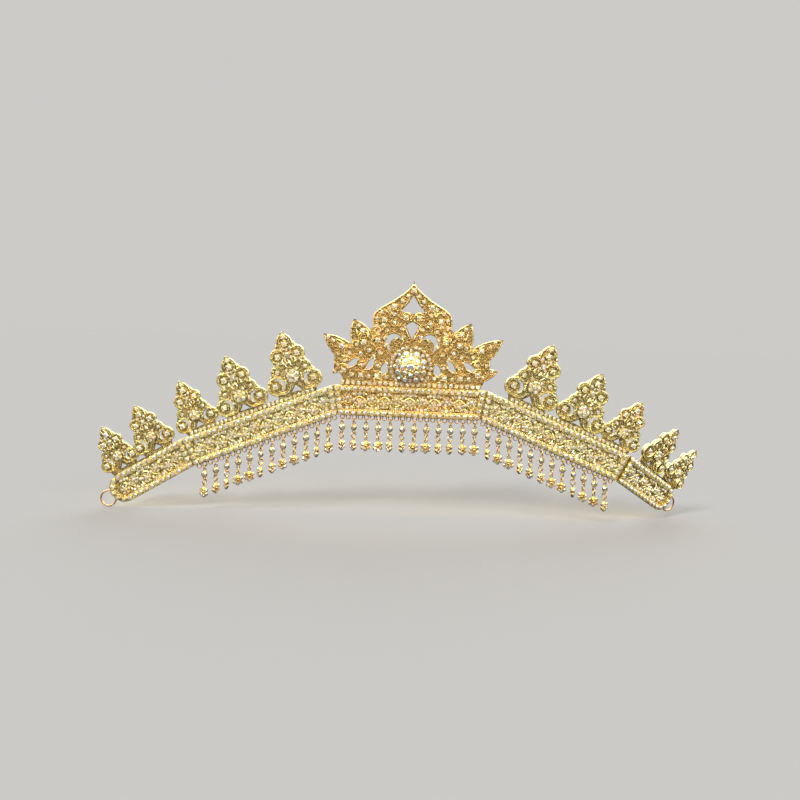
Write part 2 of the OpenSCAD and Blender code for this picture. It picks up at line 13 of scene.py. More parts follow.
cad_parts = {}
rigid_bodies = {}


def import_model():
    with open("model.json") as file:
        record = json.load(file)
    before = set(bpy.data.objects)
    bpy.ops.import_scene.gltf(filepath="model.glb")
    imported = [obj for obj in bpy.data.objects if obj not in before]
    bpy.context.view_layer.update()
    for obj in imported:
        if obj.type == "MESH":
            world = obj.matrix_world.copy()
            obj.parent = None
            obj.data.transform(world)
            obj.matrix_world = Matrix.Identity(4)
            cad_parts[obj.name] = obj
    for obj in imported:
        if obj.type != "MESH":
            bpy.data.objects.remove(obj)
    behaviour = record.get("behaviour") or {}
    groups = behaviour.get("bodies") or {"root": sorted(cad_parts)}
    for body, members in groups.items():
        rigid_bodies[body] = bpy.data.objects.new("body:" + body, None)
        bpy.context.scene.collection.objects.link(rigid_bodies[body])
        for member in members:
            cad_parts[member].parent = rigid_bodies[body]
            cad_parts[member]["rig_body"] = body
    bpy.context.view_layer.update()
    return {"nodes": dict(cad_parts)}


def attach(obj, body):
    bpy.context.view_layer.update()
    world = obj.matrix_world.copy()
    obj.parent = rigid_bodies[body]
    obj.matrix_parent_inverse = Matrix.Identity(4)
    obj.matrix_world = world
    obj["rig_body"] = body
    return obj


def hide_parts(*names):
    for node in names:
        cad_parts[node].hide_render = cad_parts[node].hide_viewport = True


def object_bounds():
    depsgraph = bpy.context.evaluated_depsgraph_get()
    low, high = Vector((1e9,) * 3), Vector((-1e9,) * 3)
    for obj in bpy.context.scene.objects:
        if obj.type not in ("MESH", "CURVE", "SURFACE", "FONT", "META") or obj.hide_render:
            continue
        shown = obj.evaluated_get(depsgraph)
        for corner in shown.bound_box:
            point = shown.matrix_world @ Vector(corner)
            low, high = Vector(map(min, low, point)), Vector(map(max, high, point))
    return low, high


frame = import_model()

MM = 0.001

# Sizes of the metal, as it is cut
BAND_HALF = 7.5
CENTRE_LEN, INNER_LEN, END_LEN = 74.0, 79.0, 44.5
JOINT_GAP = 0.5
HINGE_BACK = 1.3
FAN_IN, FAN_OUT = 11.0, 4.5
FOLD_IN, FOLD_OUT = 5.0, 28.0
BORDER = 2.9
BORDER_PITCH = 3.1
STONE_R = 1.05
BIG_STONE_R = 1.15 * STONE_R
STONE_SEAT = 1.47
CREST_H = 53.0
SIDE_H, SIDE_W = 33.5, 27.5
ROSETTE_R, ROSETTE_B, ROSETTE_BASE = 8.5, 10.5, 2.4
RING_PITCH, RING_R, RING_DROP, RING_C = 3.05, 1.07, 8.45, 0.5
DROPS = 12

# Side crests from the hinge outwards: a, share of width, share of height, lean.
INNER_CRESTS_LEFT = [(17, 1, 1, 5), (44.6, 0.96, 0.935, -0.5), (68.8, 0.8, 0.825, -5)]
INNER_CRESTS_RIGHT = [(19.6, 1.03, 1.03, -0.5), (47.7, 0.96, 0.95, -2.5), (70.8, 0.8, 0.815, -7)]
END_CRESTS_LEFT = [(12.5, 0.8, 0.77, 0.5), (32.4, 0.72, 0.73, 1)]
END_CRESTS_RIGHT = [(14.4, 0.8, 0.8, -12), (36, 0.7, 0.73, -14)]
# Height of the strip that joins the feet of a panel's crests.
INNER_FOOT, END_FOOT = 0.065 * SIDE_H, 0.024 * SIDE_H

# Ornament of a side crest on its right half, in shares of its width and height.
# Scrolls: middle, radius as a share of the width, the stem that leads in, and first and last angle.
CREST_SCROLLS = [
    (0.335, 0.23, 0.18, [(0.05, 0.215), (0.115, 0.12), (0.21, 0.08)], -92, 104),
    (0.262, 0.43, 0.12, [(0.13, 0.328), (0.19, 0.312)], -74, 190),
    (0.18, 0.655, 0.145, [(0.03, 0.502), (0.09, 0.512)], -84, 205),
]
# The two wires of a scroll: distance inside its edge, half width, half height and height, and its points.
CREST_WIRES = [(0.45, 0.46, 0.66, 1.5, 0, 44), (1.29, 0.43, 0.6, 1.4, 3, 37)]
# Crescent gap beside the large scroll's eye: middles of its two arcs from the eye and their radius.
GAP_OUTER, GAP_INNER, GAP_R = (-0.042, 0.015), (0.033, -0.012), 0.126
# Pointed leaf at the top: where it starts, and its width.
TOP_LEAF_B, TOP_LEAF_WIDE = 0.62, 0.31
# Stem of the large scroll and leaves of the body: path and half width.
CREST_LEAVES = [
    ([(0.13, 0.15), (0.14, 0.21), (0.145, 0.28), (0.155, 0.34), (0.14, 0.4)], 0.5),
    ([(0.03, 0.455), (0.085, 0.49), (0.125, 0.555), (0.1, 0.61)], 0.62),
    ([(0.02, 0.52), (0.055, 0.55), (0.07, 0.61)], 0.5),
    ([(0.2, 0.335), (0.3, 0.36), (0.375, 0.345)], 0.5),
    ([(0.22, 0.37), (0.3, 0.395), (0.35, 0.39)], 0.35),
    ([(0.07, 0.69), (0.05, 0.735), (0.02, 0.76)], 0.42),
]
# Plain fills that make the notches between the lobes shallow.
CREST_FILLS = [
    [(0.43, 0.335), (0.375, 0.39), (0.34, 0.44)],
    [(0.33, 0.48), (0.28, 0.54), (0.27, 0.6)],
    [(0.215, 0.745), (0.17, 0.79), (0.145, 0.85)],
]
# Seed stones: their places, the height of their seats and their radius.
CREST_SEEDS = [
    ([(0.262, 0.43)], 1.5, 1.05),
    ([(0.1, 0.425), (0.215, 0.545), (0.075, 0.75)], 1.45, 0.78),
    ([(0.15, 0.245), (0.245, 0.345), (0.055, 0.61)], 1.4, 0.66),
]
CREST_BEADS = [(0.29, 0.54), (0.36, 0.405), (0.27, 0.1)]
# Down the middle of the crest: five stones round a sixth, a leaf, the sharp point, and seed stones above.
CLUSTER_B, CLUSTER_R = 0.33, 2.2
MIDDLE_LEAF, CREST_POINT = [(0, 0.45), (0, 0.52), (0, 0.58)], [(0, 0.85), (0, 0.94), (0, 1.022)]
MIDDLE_SEEDS = [([(0, 0.66)], 1.7, 1.12), ([(0, 0.73), (0, 0.915)], 1.4, 0.66)]
# Main stones of the whole crest, and the outline of its body, where granules lie.
CREST_STONES = [(0.36, 0.235), (0.18, 0.65), (-0.36, 0.235), (-0.18, 0.65), (0, 0.82)]
CREST_BODY = [
    (-0.31, 0), (0.31, 0), (0.37, 0.1), (0.4, 0.3), (0.3, 0.5), (0.24, 0.67), (0.12, 0.78), (-0.12, 0.78),
]

# Leaves of the centre crest on the viewer's left (-1) and right (1), both drawn on the right: base, tip and
# width.
CENTRE_LEAVES = {
    -1: [(19, 11, 29.4, 33.4, 11.5), (22, 8, 44.4, 25.5, 10)],
    1: [(19, 11, 29.4, 33.4, 11.5), (22, 8, 45.8, 25.7, 10), (24, 4.5, 43.9, 9.8, 7.6)],
}
# Its edge below the leaves, from the band upward, the wire that follows that edge with its number of points,
# and the seed stones beside it.
CENTRE_EDGE = {
    -1: [(34.6, 2.3), (33.9, 3.8), (35.9, 6.4), (36.7, 7.6), (38.6, 8.2), (38.6, 16)],
    1: [(34.5, 0), (39.8, 9), (39.8, 13), (39.4, 16.6)],
}
EDGE_WIRE = {
    -1: ([(38.1, 8.9), (38.15, 12.0), (38.1, 15.6)], 16),
    1: ([(36.6, 4.6), (38.4, 8.2), (39.3, 12.0), (38.9, 15.8)], 18),
}
EDGE_SEEDS = {-1: [(36.6, 15.6), (36.7, 10.2)], 1: [(37.9, 12.5), (36.4, 6.4), (40.6, 9.6)]}
KNOB_SEEDS = [(38.75, 7.3), (37.75, 6.3)]
# Scrolls of the centre crest on its right half: middle, radius, first and last angle, eye radius.
CENTRE_SCROLLS = [
    (3.4, 34.8, 2.6, -60, 230, 2.2), (13.6, 33.4, 4.8, -80, 170, 2.6), (17.2, 22.6, 3.2, -110, 160, 1.9),
    (6.3, 22.4, 2.2, -60, 260, 1.2), (24, 24, 2.8, -60, 220, 1.6), (32, 17.6, 2.6, -90, 220, 1.2),
    (17, 5.2, 2.6, 20, 330, 1.9), (25, 5.4, 2.2, -20, 290, 1.8), (33.4, 7.6, 2.1, -100, 190, 1.8),
    (15.9, 17.1, 2.3, -60, 250, 1.3), (21.4, 18, 2.1, -90, 220, 1.2), (27.5, 20.7, 2, -120, 180, 1.2),
    (12.6, 28.4, 2, -60, 240, 1.2), (8.9, 32.4, 1.9, -150, 150, 1.1), (5.3, 29.4, 1.9, -30, 260, 1.1),
    (16.4, 10.4, 1.7, -60, 250, 1.1), (24.5, 10.6, 1.8, -90, 220, 1.1), (33.4, 12.5, 1.8, -60, 230, 1.1),
    (9.2, 37, 1.9, -60, 240, 1.1), (16.9, 27.6, 1.8, -90, 210, 1.1),
]
# Scrolls with a larger radius have a second wire.
LARGE_SCROLL_R = 2.5
# Leaf-shaped gaps of its right half: a and b of the middle, length, width and angle.
CENTRE_GAPS = [(13.3, 9, 6.6, 3.2, 105), (20.3, 11.2, 7, 2.8, 120), (29.3, 11.4, 7.6, 2.6, 140)]
# Its other gaps: a crescent and the radius of its wire, an arrowhead, a kite, and the wires of the last two.
CRESCENT, CRESCENT_R, CRESCENT_HORN, CRESCENT_HORN_R = (9, 22.3), 4.7, (7.6, 20.7), 3.4
CRESCENT_WIRE_R = 5.1
ARROW_GAP = [(-1, 46.6), (0, 46.6), (2.5, 42.6), (5.9, 38.8), (5.7, 36.7), (-1, 36.7)]
KITE_GAP = [(-1, 23.8), (0, 23.8), (2.3, 28), (3.6, 31.2), (0, 33.4), (-1, 33.4)]
GAP_WIRES = [
    [(0.2, 47.6), (1.2, 45.9), (3.1, 42.9), (6.3, 39.2), (6.4, 36.3)],
    [(0.3, 22.9), (1.4, 25.0), (2.8, 27.8), (4.1, 31.1), (2.3, 32.6), (0.3, 34.0)],
]
CENTRE_STONES = [
    (3.4, 34.8), (9.5, 40.3), (14.2, 33.6), (17, 23.4), (24.6, 27.6), (24, 22), (35, 19.8), (17, 5.2),
    (25, 5.4), (33.6, 7.6),
]
CENTRE_SEEDS = [
    (2.7, 45.9), (5.3, 43.2), (12, 39.4), (15.6, 37.4), (17.6, 34.2), (17.8, 30.4), (9.3, 36.6), (8.9, 32.4),
    (5.2, 29.4), (12.6, 28.4), (16.8, 27.6), (13.4, 24.4), (4.3, 25.4), (21.3, 18), (27.5, 20.8),
    (39.4, 22.1), (31, 16.4), (25.3, 16.2), (33.4, 12.4), (21.2, 5), (29.4, 5.5), (12, 5), (16.4, 10.4),
    (24.4, 10.6), (14.6, 31), (26.8, 30.2), (41.8, 24), (15.9, 17.1), (12.9, 20.6), (18.9, 14.9),
]
GROUND_LEAVES = [
    [(27.4, 8.0), (25.6, 10.4), (23.0, 12.6)], [(4.9, 39.4), (3.4, 42.0), (1.5, 45.2)],
    [(32.6, 20.4), (35.6, 22.0), (38.6, 23.0)], [(27.0, 23.2), (27.6, 26.2), (28.2, 29.4)],
    [(21.4, 23.6), (21.8, 26.4), (24.0, 30.4)], [(18.2, 36.6), (17.4, 33.0), (17.0, 29.0)],
    [(6.9, 41.0), (8.9, 40.9), (10.9, 39.6)], [(14.8, 25.6), (17.6, 26.4), (19.6, 28.8)],
    [(29.6, 12.8), (32.4, 14.6), (35.4, 14.8)], [(31.0, 9.4), (33.4, 10.6), (36.0, 10.4)],
    [(13.6, 3.4), (15.2, 2.9), (17.4, 2.6)], [(21.6, 7.4), (22.6, 8.2), (23.9, 8.3)],
]
# Stone under the tip of the centre crest, below its top.
TIP_STONE_DROP = 4.6
# Ring of seed stones round the rosette, and row of stones along the crest's foot: its end, height and pitch.
ROSETTE_RING_R = 9.8
STRIP_END, STRIP_B, STRIP_PITCH = 34.1, 1.6, 2.75


# Places
def shift(x=0.0, y=0.0, z=0.0):
    """Matrix of a move."""
    m = np.eye(4)
    m[:3, 3] = x, y, z
    return m


def turn(axis, degrees):
    """Matrix of a turn about x, y or z."""
    m = np.eye(4)
    i, j = {"x": (1, 2), "y": (2, 0), "z": (0, 1)}[axis]
    c, s = math.cos(math.radians(degrees)), math.sin(math.radians(degrees))
    m[i, i] = m[j, j] = c
    m[i, j], m[j, i] = -s, s
    return m


def folded(lean, fold):
    """Fold about a hinge line that leans: lean, fold about the pin behind the plates, lean again."""
    return turn("y", lean) @ shift(y=HINGE_BACK) @ turn("z", fold) @ shift(y=-HINGE_BACK) @ turn("y", lean)


MIRROR = np.diag([-1.0, 1.0, 1.0, 1.0])
# The sheet's (a, b, c) to the crown's (x, y, z).
SHEET = np.array([[1.0, 0, 0, 0], [0, 0, -1, 0], [0, 1, 0, 0], [0, 0, 0, 1]])


def inner_place(side):
    """Place of an inner panel: side is -1 on the viewer's left."""
    right = shift(x=(CENTRE_LEN + JOINT_GAP) / 2) @ folded(FAN_IN, FOLD_IN if side > 0 else 0)
    return right if side > 0 else MIRROR @ right


def end_place(side):
    """Place of an end panel, hung from the inner one."""
    return inner_place(side) @ shift(x=INNER_LEN + JOINT_GAP) @ folded(FAN_OUT, FOLD_OUT if side > 0 else 0)


class Panel:
    """One panel: its place, the lean of its two ends, its crests and its fringe."""

    def __init__(self, body, place, length, lean_in, lean_out, crests=(), rings=0, fringe=None):
        self.body, self.place, self.length = body, place, length
        self.lean_in, self.lean_out = lean_in, lean_out
        self.crests, self.rings, self.fringe = crests, rings, fringe
        self.rounded = not fringe

    def first(self, b, inset=0.0):
        """Where the band starts at height b, moved in by inset."""
        if self.body == "centre":
            return -self.last(b, inset)
        t = math.radians(self.lean_in)
        return JOINT_GAP / 2 - b * math.tan(t) + inset / math.cos(t)

    def last(self, b, inset=0.0):
        """Where the band stops at height b, moved in by inset. A round end stops at the round's middle."""
        if self.rounded:
            return JOINT_GAP / 2 + END_LEN - BAND_HALF
        t = math.radians(self.lean_out)
        start = self.length / 2 if self.body == "centre" else JOINT_GAP / 2 + self.length
        return start + b * math.tan(t) - inset / math.cos(t)

    def ring_a(self, i):
        """Where ring i of the rail hangs."""
        middle = (self.first(-BAND_HALF) + self.last(-BAND_HALF)) / 2
        return middle + (np.asarray(i) - (self.rings - 1) / 2) * RING_PITCH


PANELS = [
    Panel("centre", np.eye(4), CENTRE_LEN, FAN_IN, FAN_IN, (), 23, "centre"),
    Panel("left_inner", inner_place(-1), INNER_LEN, FAN_IN, FAN_OUT, INNER_CRESTS_LEFT, 25, "left"),
    Panel("right_inner", inner_place(1), INNER_LEN, FAN_IN, FAN_OUT, INNER_CRESTS_RIGHT, 25, "right"),
    Panel("left_end", end_place(-1), END_LEN, FAN_OUT, 0, END_CRESTS_LEFT),
    Panel("right_end", end_place(1), END_LEN, FAN_OUT, 0, END_CRESTS_RIGHT),
]


def pairs(points):
    """One point or a list of points as rows of (a, b)."""
    return np.asarray(points, float).reshape(-1, 2)


def row_at(a, b):
    """Points at the places a along the sheet, all at height b or each at its own."""
    return np.stack([a, 0 * a + b], 1)


def circle(radius, angles):
    """Points round the origin at angles in radians: radius (cos t, sin t)."""
    return radius * np.stack([np.cos(angles), np.sin(angles)], -1)


def spots(points, c, size=1.0, spin=0.0, tip=0.0, tip_way=0.0):
    """Places of a repeated form on the sheet: scale by size, turn by spin about its own axis, tip it over by
    tip towards tip_way, and move it to (a, b, c). Angles in degrees. The tip is I + sin tip K +
    (1 - cos tip) K K, with K the cross product with its axis. Returns one matrix a point."""
    points = pairs(points)
    k = len(points)
    angles = (np.radians(v) for v in (spin, tip, tip_way))
    size, c, spin, tip, way = (np.broadcast_to(np.asarray(v, float), k) for v in (size, c, *angles))
    turned_by = np.zeros((k, 3, 3))
    turned_by[:, 0, 0] = turned_by[:, 1, 1] = np.cos(spin)
    turned_by[:, 1, 0] = np.sin(spin)
    turned_by[:, 0, 1] = -np.sin(spin)
    turned_by[:, 2, 2] = 1
    cross = np.zeros((k, 3, 3))
    cross[:, 0, 2], cross[:, 2, 0] = np.cos(way), -np.cos(way)
    cross[:, 1, 2], cross[:, 2, 1] = np.sin(way), -np.sin(way)
    tipped = np.eye(3) + np.sin(tip)[:, None, None] * cross
    tipped += (1 - np.cos(tip))[:, None, None] * (cross @ cross)
    places = np.zeros((k, 4, 4))
    places[:, :3, :3] = tipped @ turned_by * size[:, None, None]
    places[:, :2, 3] = points
    places[:, 2, 3] = c
    places[:, 3, 3] = 1
    return places


# Forms, as (points, faces by number of corners)
def skin_faces(rings, sides):
    """Faces of a closed skin: a pole, rings of sides points each, and a second pole."""
    i, j = np.meshgrid(np.arange(rings - 1), np.arange(sides), indexing="ij")
    n = (j + 1) % sides
    row, after = 1 + i * sides, 1 + (i + 1) * sides
    quads = np.stack([row + j, row + n, after + n, after + j], -1)
    j = np.arange(sides)
    n = (j + 1) % sides
    end = 1 + rings * sides
    first = np.stack([0 * j, 1 + n, 1 + j], -1)
    last = np.stack([0 * j + end, end - sides + j, end - sides + n], -1)
    return [quads.reshape(-1, 4), np.concatenate([first, last])]


def turned_form(profile, sides=12):
    """Form turned on the c axis: a point is (r cos u, r sin u, c) for each (r, c) of the profile, which runs
    from the back pole to the front pole."""
    profile = np.asarray(profile, float)
    u = 2 * np.pi * np.arange(sides) / sides
    rim = np.stack([
        profile[1:-1, :1] * np.cos(u), profile[1:-1, :1] * np.sin(u), profile[1:-1, 1:] + 0 * u,
    ], -1)
    points = np.concatenate([[[0, 0, profile[0, 1]]], rim.reshape(-1, 3), [[0, 0, profile[-1, 1]]]])
    return points, skin_faces(len(profile) - 2, sides)


def dome_form(low, rings, sides):
    """Bead or dome of radius 1: half circle from -low to +1 in height, (sin v, -cos v)."""
    v = np.linspace(math.acos(low), math.pi, rings + 2)
    profile = np.stack([np.sin(v), -np.cos(v)], 1)[:-1]
    return turned_form(np.concatenate([[[0, -low]], profile, [[0, 1]]]), sides)


def bar_form(path, wide, high, sides, c):
    """Closed bar along a path on the sheet, at height c: path + wide cos t side + high sin t up, where side
    is the path's direction turned a quarter turn. The ends of the path are its poles. wide and high change
    along it."""
    path = np.column_stack([path, np.full(len(path), c)])
    along = np.gradient(path, axis=0)
    side = np.stack([-along[:, 1], along[:, 0], 0 * along[:, 0]], -1)
    side /= np.linalg.norm(side, axis=1, keepdims=True) + 1e-12
    t = 2 * np.pi * (np.arange(sides) + 0.5) / sides
    rings = (
        path[1:-1, None]
        + (wide[1:-1, None] * np.cos(t))[..., None] * side[1:-1, None]
        + (high[1:-1, None] * np.sin(t))[..., None] * np.array([0.0, 0.0, 1.0])
    )
    return np.concatenate([path[:1], rings.reshape(-1, 3), path[-1:]]), skin_faces(len(path) - 2, sides)


def hoop_form(radius, wire, around, sides=6):
    """Ring of round wire in the sheet: (radius + wire cos t)(cos u, sin u), height wire sin t."""
    i, j = np.meshgrid(np.arange(around), np.arange(sides), indexing="ij")
    u, t = 2 * np.pi * i / around, 2 * np.pi * j / sides
    reach = radius + wire * np.cos(t)
    points = np.stack([reach * np.cos(u), reach * np.sin(u), wire * np.sin(t)], -1).reshape(-1, 3)
    m, n = (i + 1) % around, (j + 1) % sides
    quads = np.stack([i * sides + j, m * sides + j, m * sides + n, i * sides + n], -1).reshape(-1, 4)
    return points, [quads]


def brilliant_form(table=0.58, middle=0.8, middle_h=0.811, girdle_h=0.5):
    """Round brilliant of radius 1 and height 1, culet at 0: a table of 8 corners, 8 star facets, 8 kites, 16
    upper girdle facets and a 16-sided point below. Rings stand at their radius and height, 45 or 22.5
    degrees apart."""
    k = np.arange(8)

    def ring(r, h, count, half=0.0):
        u = 2 * np.pi * (np.arange(count) + half) / count
        return np.column_stack([circle(r, u), np.full(count, h)])

    points = np.concatenate([
        ring(table, 1.0, 8), ring(middle, middle_h, 8, 0.5), ring(1.0, girdle_h, 16), [[0, 0, 0.0]],
    ])
    corner, star, girdle = k, 8 + k, 16 + 2 * k
    girdle_1, girdle_2 = girdle + 1, 16 + (2 * k + 2) % 16
    triangles = np.concatenate([
        np.stack([corner, star, (k + 1) % 8], 1), np.stack([star, girdle, girdle_1], 1),
        np.stack([star, girdle_1, girdle_2], 1),
        np.stack([np.full(16, 32), 16 + (np.arange(16) + 1) % 16, 16 + np.arange(16)], 1),
    ])
    kites = np.stack([corner, 8 + (k - 1) % 8, girdle, star], 1)
    return points, [triangles, kites, k[None]]


def seed_form(table=0.56, sides=8):
    """Small cut stone of radius 1: flat back, girdle and table, three rings of 8 at heights 0, 0.35 and
    0.85."""
    u = 2 * np.pi * np.arange(sides) / sides
    rows = [(0.75, 0.0), (1.0, 0.35), (table, 0.85)]
    points = np.concatenate([np.column_stack([circle(r, u), 0 * u + c]) for r, c in rows])
    j = np.arange(sides)
    n = (j + 1) % sides
    walls = np.concatenate([np.stack([s + j, s + n, s + sides + n, s + sides + j], 1) for s in (0, sides)])
    return points, [walls, (2 * sides + j)[None], j[None, ::-1]]


SEED = seed_form()
BROAD_SEED = seed_form(0.74)
BRILLIANT = brilliant_form()
BEAD = dome_form(0.3, 3, 7)
GRAIN = dome_form(0.1, 2, 6)
# Cups of radius 1 or nearly so: plain wall and a burnished rim.
SEED_CUP = turned_form([
    (0, -0.6), (1.22, -0.6), (1.26, 0.2), (1.16, 0.42), (1.02, 0.42), (1.0, 0.25), (0, 0.2),
])
PETAL_CUP = turned_form([
    (0, -0.45), (0.6, -0.45), (0.94, 0.0), (0.97, 0.4), (0.86, 0.5), (0.76, 0.42), (0, 0.3),
])
LINK_CUP = turned_form([
    (0, -0.6), (0.9, -0.6), (1.45, -0.3), (1.65, 0.2), (1.65, 0.5), (1.52, 0.62), (1.36, 0.62), (1.3, 0.35),
    (0, 0.3),
], 18)
FLOWER_CAP = turned_form([(0, -1.25), (1.15, -1.2), (1.1, -0.7), (0.62, 0.1), (0.34, 0.55), (0, 0.65)], 14)
ROSETTE_DOME = turned_form([
    (0, -0.3), (4.7, -0.3), (5.0, 0.1), (4.75, 0.5), (4.1, 0.85), (3.2, 1.12), (2.2, 1.3), (1.1, 1.4),
    (0, 1.43),
], 40)


class Tray:
    """Forms gathered for one piece."""

    def __init__(self):
        self.points, self.faces, self.count = [], [], 0

    def add(self, form, places):
        """Adds a form at one place or at K places: place times point."""
        points, faces = form
        places = np.asarray(places, float).reshape(-1, 4, 4)
        world = points @ places[:, :3, :3].transpose(0, 2, 1) + places[:, None, :3, 3]
        copies, n = world.shape[:2]
        inside_out = np.linalg.det(places[0, :3, :3]) < 0
        starts = (self.count + n * np.arange(copies))[:, None, None]
        for f in faces:
            f = f[:, ::-1] if inside_out else f
            self.faces.append((f[None] + starts).reshape(-1, f.shape[1]))
        self.points.append(world.reshape(-1, 3))
        self.count += copies * n


# Edges of the metal that turn by more than this many degrees stay sharp.
SHARP_EDGE = 45


def make_piece(name, tray, body, material, slot, stands_for=None):
    """A mesh of what is on the tray, in metres, riding on a body. Stones keep flat facets."""
    mesh = bpy.data.meshes.new(name)
    points = np.concatenate(tray.points) * MM
    sizes = np.concatenate([np.full(len(f), f.shape[1]) for f in tray.faces])
    corners = np.concatenate([f.ravel() for f in tray.faces])
    mesh.vertices.add(len(points))
    mesh.vertices.foreach_set("co", points.astype(np.float32).ravel())
    mesh.loops.add(len(corners))
    mesh.loops.foreach_set("vertex_index", corners.astype(np.int32))
    mesh.polygons.add(len(sizes))
    mesh.polygons.foreach_set("loop_start", (np.cumsum(sizes) - sizes).astype(np.int32))
    mesh.update(calc_edges=True)
    if slot == "crystal":
        mesh.shade_flat()
    else:
        mesh.shade_smooth()
        mesh.set_sharp_from_angle(angle=math.radians(SHARP_EDGE))
    mesh.materials.append(material)
    piece = bpy.data.objects.new(name, mesh)
    bpy.context.scene.collection.objects.link(piece)
    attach(piece, body)
    if stands_for:
        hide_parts(stands_for)


# Camera and light
# Width of the photo and focal length in pixels, width of the sensor in millimetres.
PHOTO_PIXELS, FOCAL_PIXELS, SENSOR = 800, 834.06, 36.0
# The camera's place in metres and its angles in degrees.
CAMERA_AT = (-0.00336, -0.42, 0.03188)
CAMERA_PAN, CAMERA_TILT, CAMERA_ROLL = 0.19, -4.2, 2.34


def make_camera():
    """Camera as the photograph was taken: in front, a little above the band, tipped down and slightly
    rolled."""
    camera = bpy.data.cameras.new("camera")
    camera.sensor_width, camera.lens = SENSOR, FOCAL_PIXELS / PHOTO_PIXELS * SENSOR
    camera.clip_start, camera.clip_end = 0.01, 50
    obj = bpy.data.objects.new("camera", camera)
    bpy.context.scene.collection.objects.link(obj)
    pose = turn("z", CAMERA_PAN) @ turn("x", 90 + CAMERA_TILT) @ turn("z", CAMERA_ROLL)
    obj.matrix_world = Matrix((shift(*CAMERA_AT) @ pose).tolist())
    bpy.context.scene.camera = obj


def make_sun(name, place, spread, strength, colour):
    """Soft far light that shines from place towards the origin, spread degrees wide."""
    lamp = bpy.data.lights.new(name, "SUN")
    lamp.angle, lamp.energy, lamp.color = math.radians(spread), strength, colour
    obj = bpy.data.objects.new(name, lamp)
    bpy.context.scene.collection.objects.link(obj)
    obj.location = place
    obj.rotation_mode = "QUATERNION"
    obj.rotation_quaternion = (-Vector(place)).to_track_quat("-Z", "Y")


# Nodes
VECTOR, NUMBER, COLOUR = "NodeSocketVector", "NodeSocketFloat", "NodeSocketColor"


def put(tree, kind, inputs=(), **settings):
    """Adds a shader node. inputs pairs a socket's name or number with a value or with the socket that
    feeds it."""
    made = tree.nodes.new(kind)
    for name, value in settings.items():
        setattr(made, name, value)
    for name, value in dict(inputs).items():
        socket = made.inputs[name]
        if isinstance(value, bpy.types.NodeSocket):
            tree.links.new(value, socket)
        else:
            socket.default_value = value
    return made


def maths(tree, operation, *values):
    """One step of arithmetic."""
    return put(tree, "ShaderNodeMath", dict(enumerate(values)), operation=operation).outputs[0]


def noise(tree, where, scale, detail):
    """Soft noise from 0 to 1. scale is in ripples a metre."""
    inputs = {"Vector": where, "Scale": scale, "Detail": detail}
    return put(tree, "ShaderNodeTexNoise", inputs).outputs["Fac"]


def span(tree, value, low, high, to_low=0.0, to_high=1.0, ease="LINEAR"):
    """Carries low..high over to to_low..to_high, and no further."""
    return put(tree, "ShaderNodeMapRange", {
        "Value": value, "From Min": low, "From Max": high, "To Min": to_low, "To Max": to_high,
    }, interpolation_type=ease).outputs[0]


def mixed(tree, share, first, second, blend="MIX"):
    """Two colours mixed, or multiplied."""
    inputs = {0: share, 6: first, 7: second}
    return put(tree, "ShaderNodeMix", inputs, data_type="RGBA", blend_type=blend).outputs[2]


def ramp(tree, value, stops, steps="LINEAR"):
    """Colour by value: stops pairs a place from 0 to 1 with a colour, and steps says how they follow."""
    made = put(tree, "ShaderNodeValToRGB", {0: value})
    made.color_ramp.interpolation = steps
    for i, (at, colour) in enumerate(stops):
        stop = made.color_ramp.elements[i] if i < 2 else made.color_ramp.elements.new(at)
        stop.position, stop.color = at, (*colour, 1)
    return made.outputs[0]


def new_group(name, inputs, outputs):
    """Empty shader node group with named sockets: inputs pairs a name with (socket type, default)."""
    group = bpy.data.node_groups.new(name, "ShaderNodeTree")
    for label, (kind, value) in inputs.items():
        socket = group.interface.new_socket(label, in_out="INPUT", socket_type=kind)
        if value is not None:
            socket.default_value = value
    for label, kind in outputs.items():
        group.interface.new_socket(label, in_out="OUTPUT", socket_type=kind)
    return group, group.nodes.new("NodeGroupInput").outputs


def close_group(group, values):
    """Joins a group's results to its named outputs."""
    put(group, "NodeGroupOutput", values)
    return group


def placed(tree, group, inputs):
    """A group set into a material with its own values."""
    return put(tree, "ShaderNodeGroup", inputs, node_tree=group).outputs


def new_material(name):
    """Empty node material and its tree."""
    material = bpy.data.materials.new(name)
    material.use_nodes = True
    material.node_tree.nodes.clear()
    return material, material.node_tree


def close_material(material, shader):
    """Joins the shader to the material's surface."""
    put(material.node_tree, "ShaderNodeOutputMaterial", {0: shader.outputs[0]})
    return material


# Finishes
# Depths in metres: up to where the metal's back is plain, where that has ended, and how ragged the tones are.
BACK_DEPTH, BACK_END, RAGGED = 0.0002, 0.0006, 0.0005
BUMP_DEPTH, BUMP_STRENGTH = 0.0002, 0.6
# Noises of the metal, in ripples a metre: ragged tones, red patches, beaten surface, roughness and tarnish.
RAGGED_NOISE, PATCH_NOISE, BEATEN_NOISE, ROUGH_NOISE, SPECK_NOISE = 900, 85, 520, 260, 420
BROWN = (0.28, 0.13, 0.03, 1)
# Cells of tint a metre, small enough for one to a stone, and the tints by chance.
STONE_CELLS = 330
CLEAR_TINTS = [
    (0, (1.0, 0.93, 0.74)), (0.3, (1.0, 0.95, 0.86)), (0.52, (1.0, 0.82, 0.7)),
    (0.66, (0.93, 0.86, 0.92)), (0.76, (1.0, 0.85, 0.52)),
]
COATED_TINTS = [
    (0, (0.66, 0.85, 1.0)), (0.3, (0.72, 1.0, 0.86)), (0.45, (1.0, 0.72, 0.8)),
    (0.6, (0.86, 0.8, 1.0)), (0.75, (1.0, 0.93, 0.6)),
]


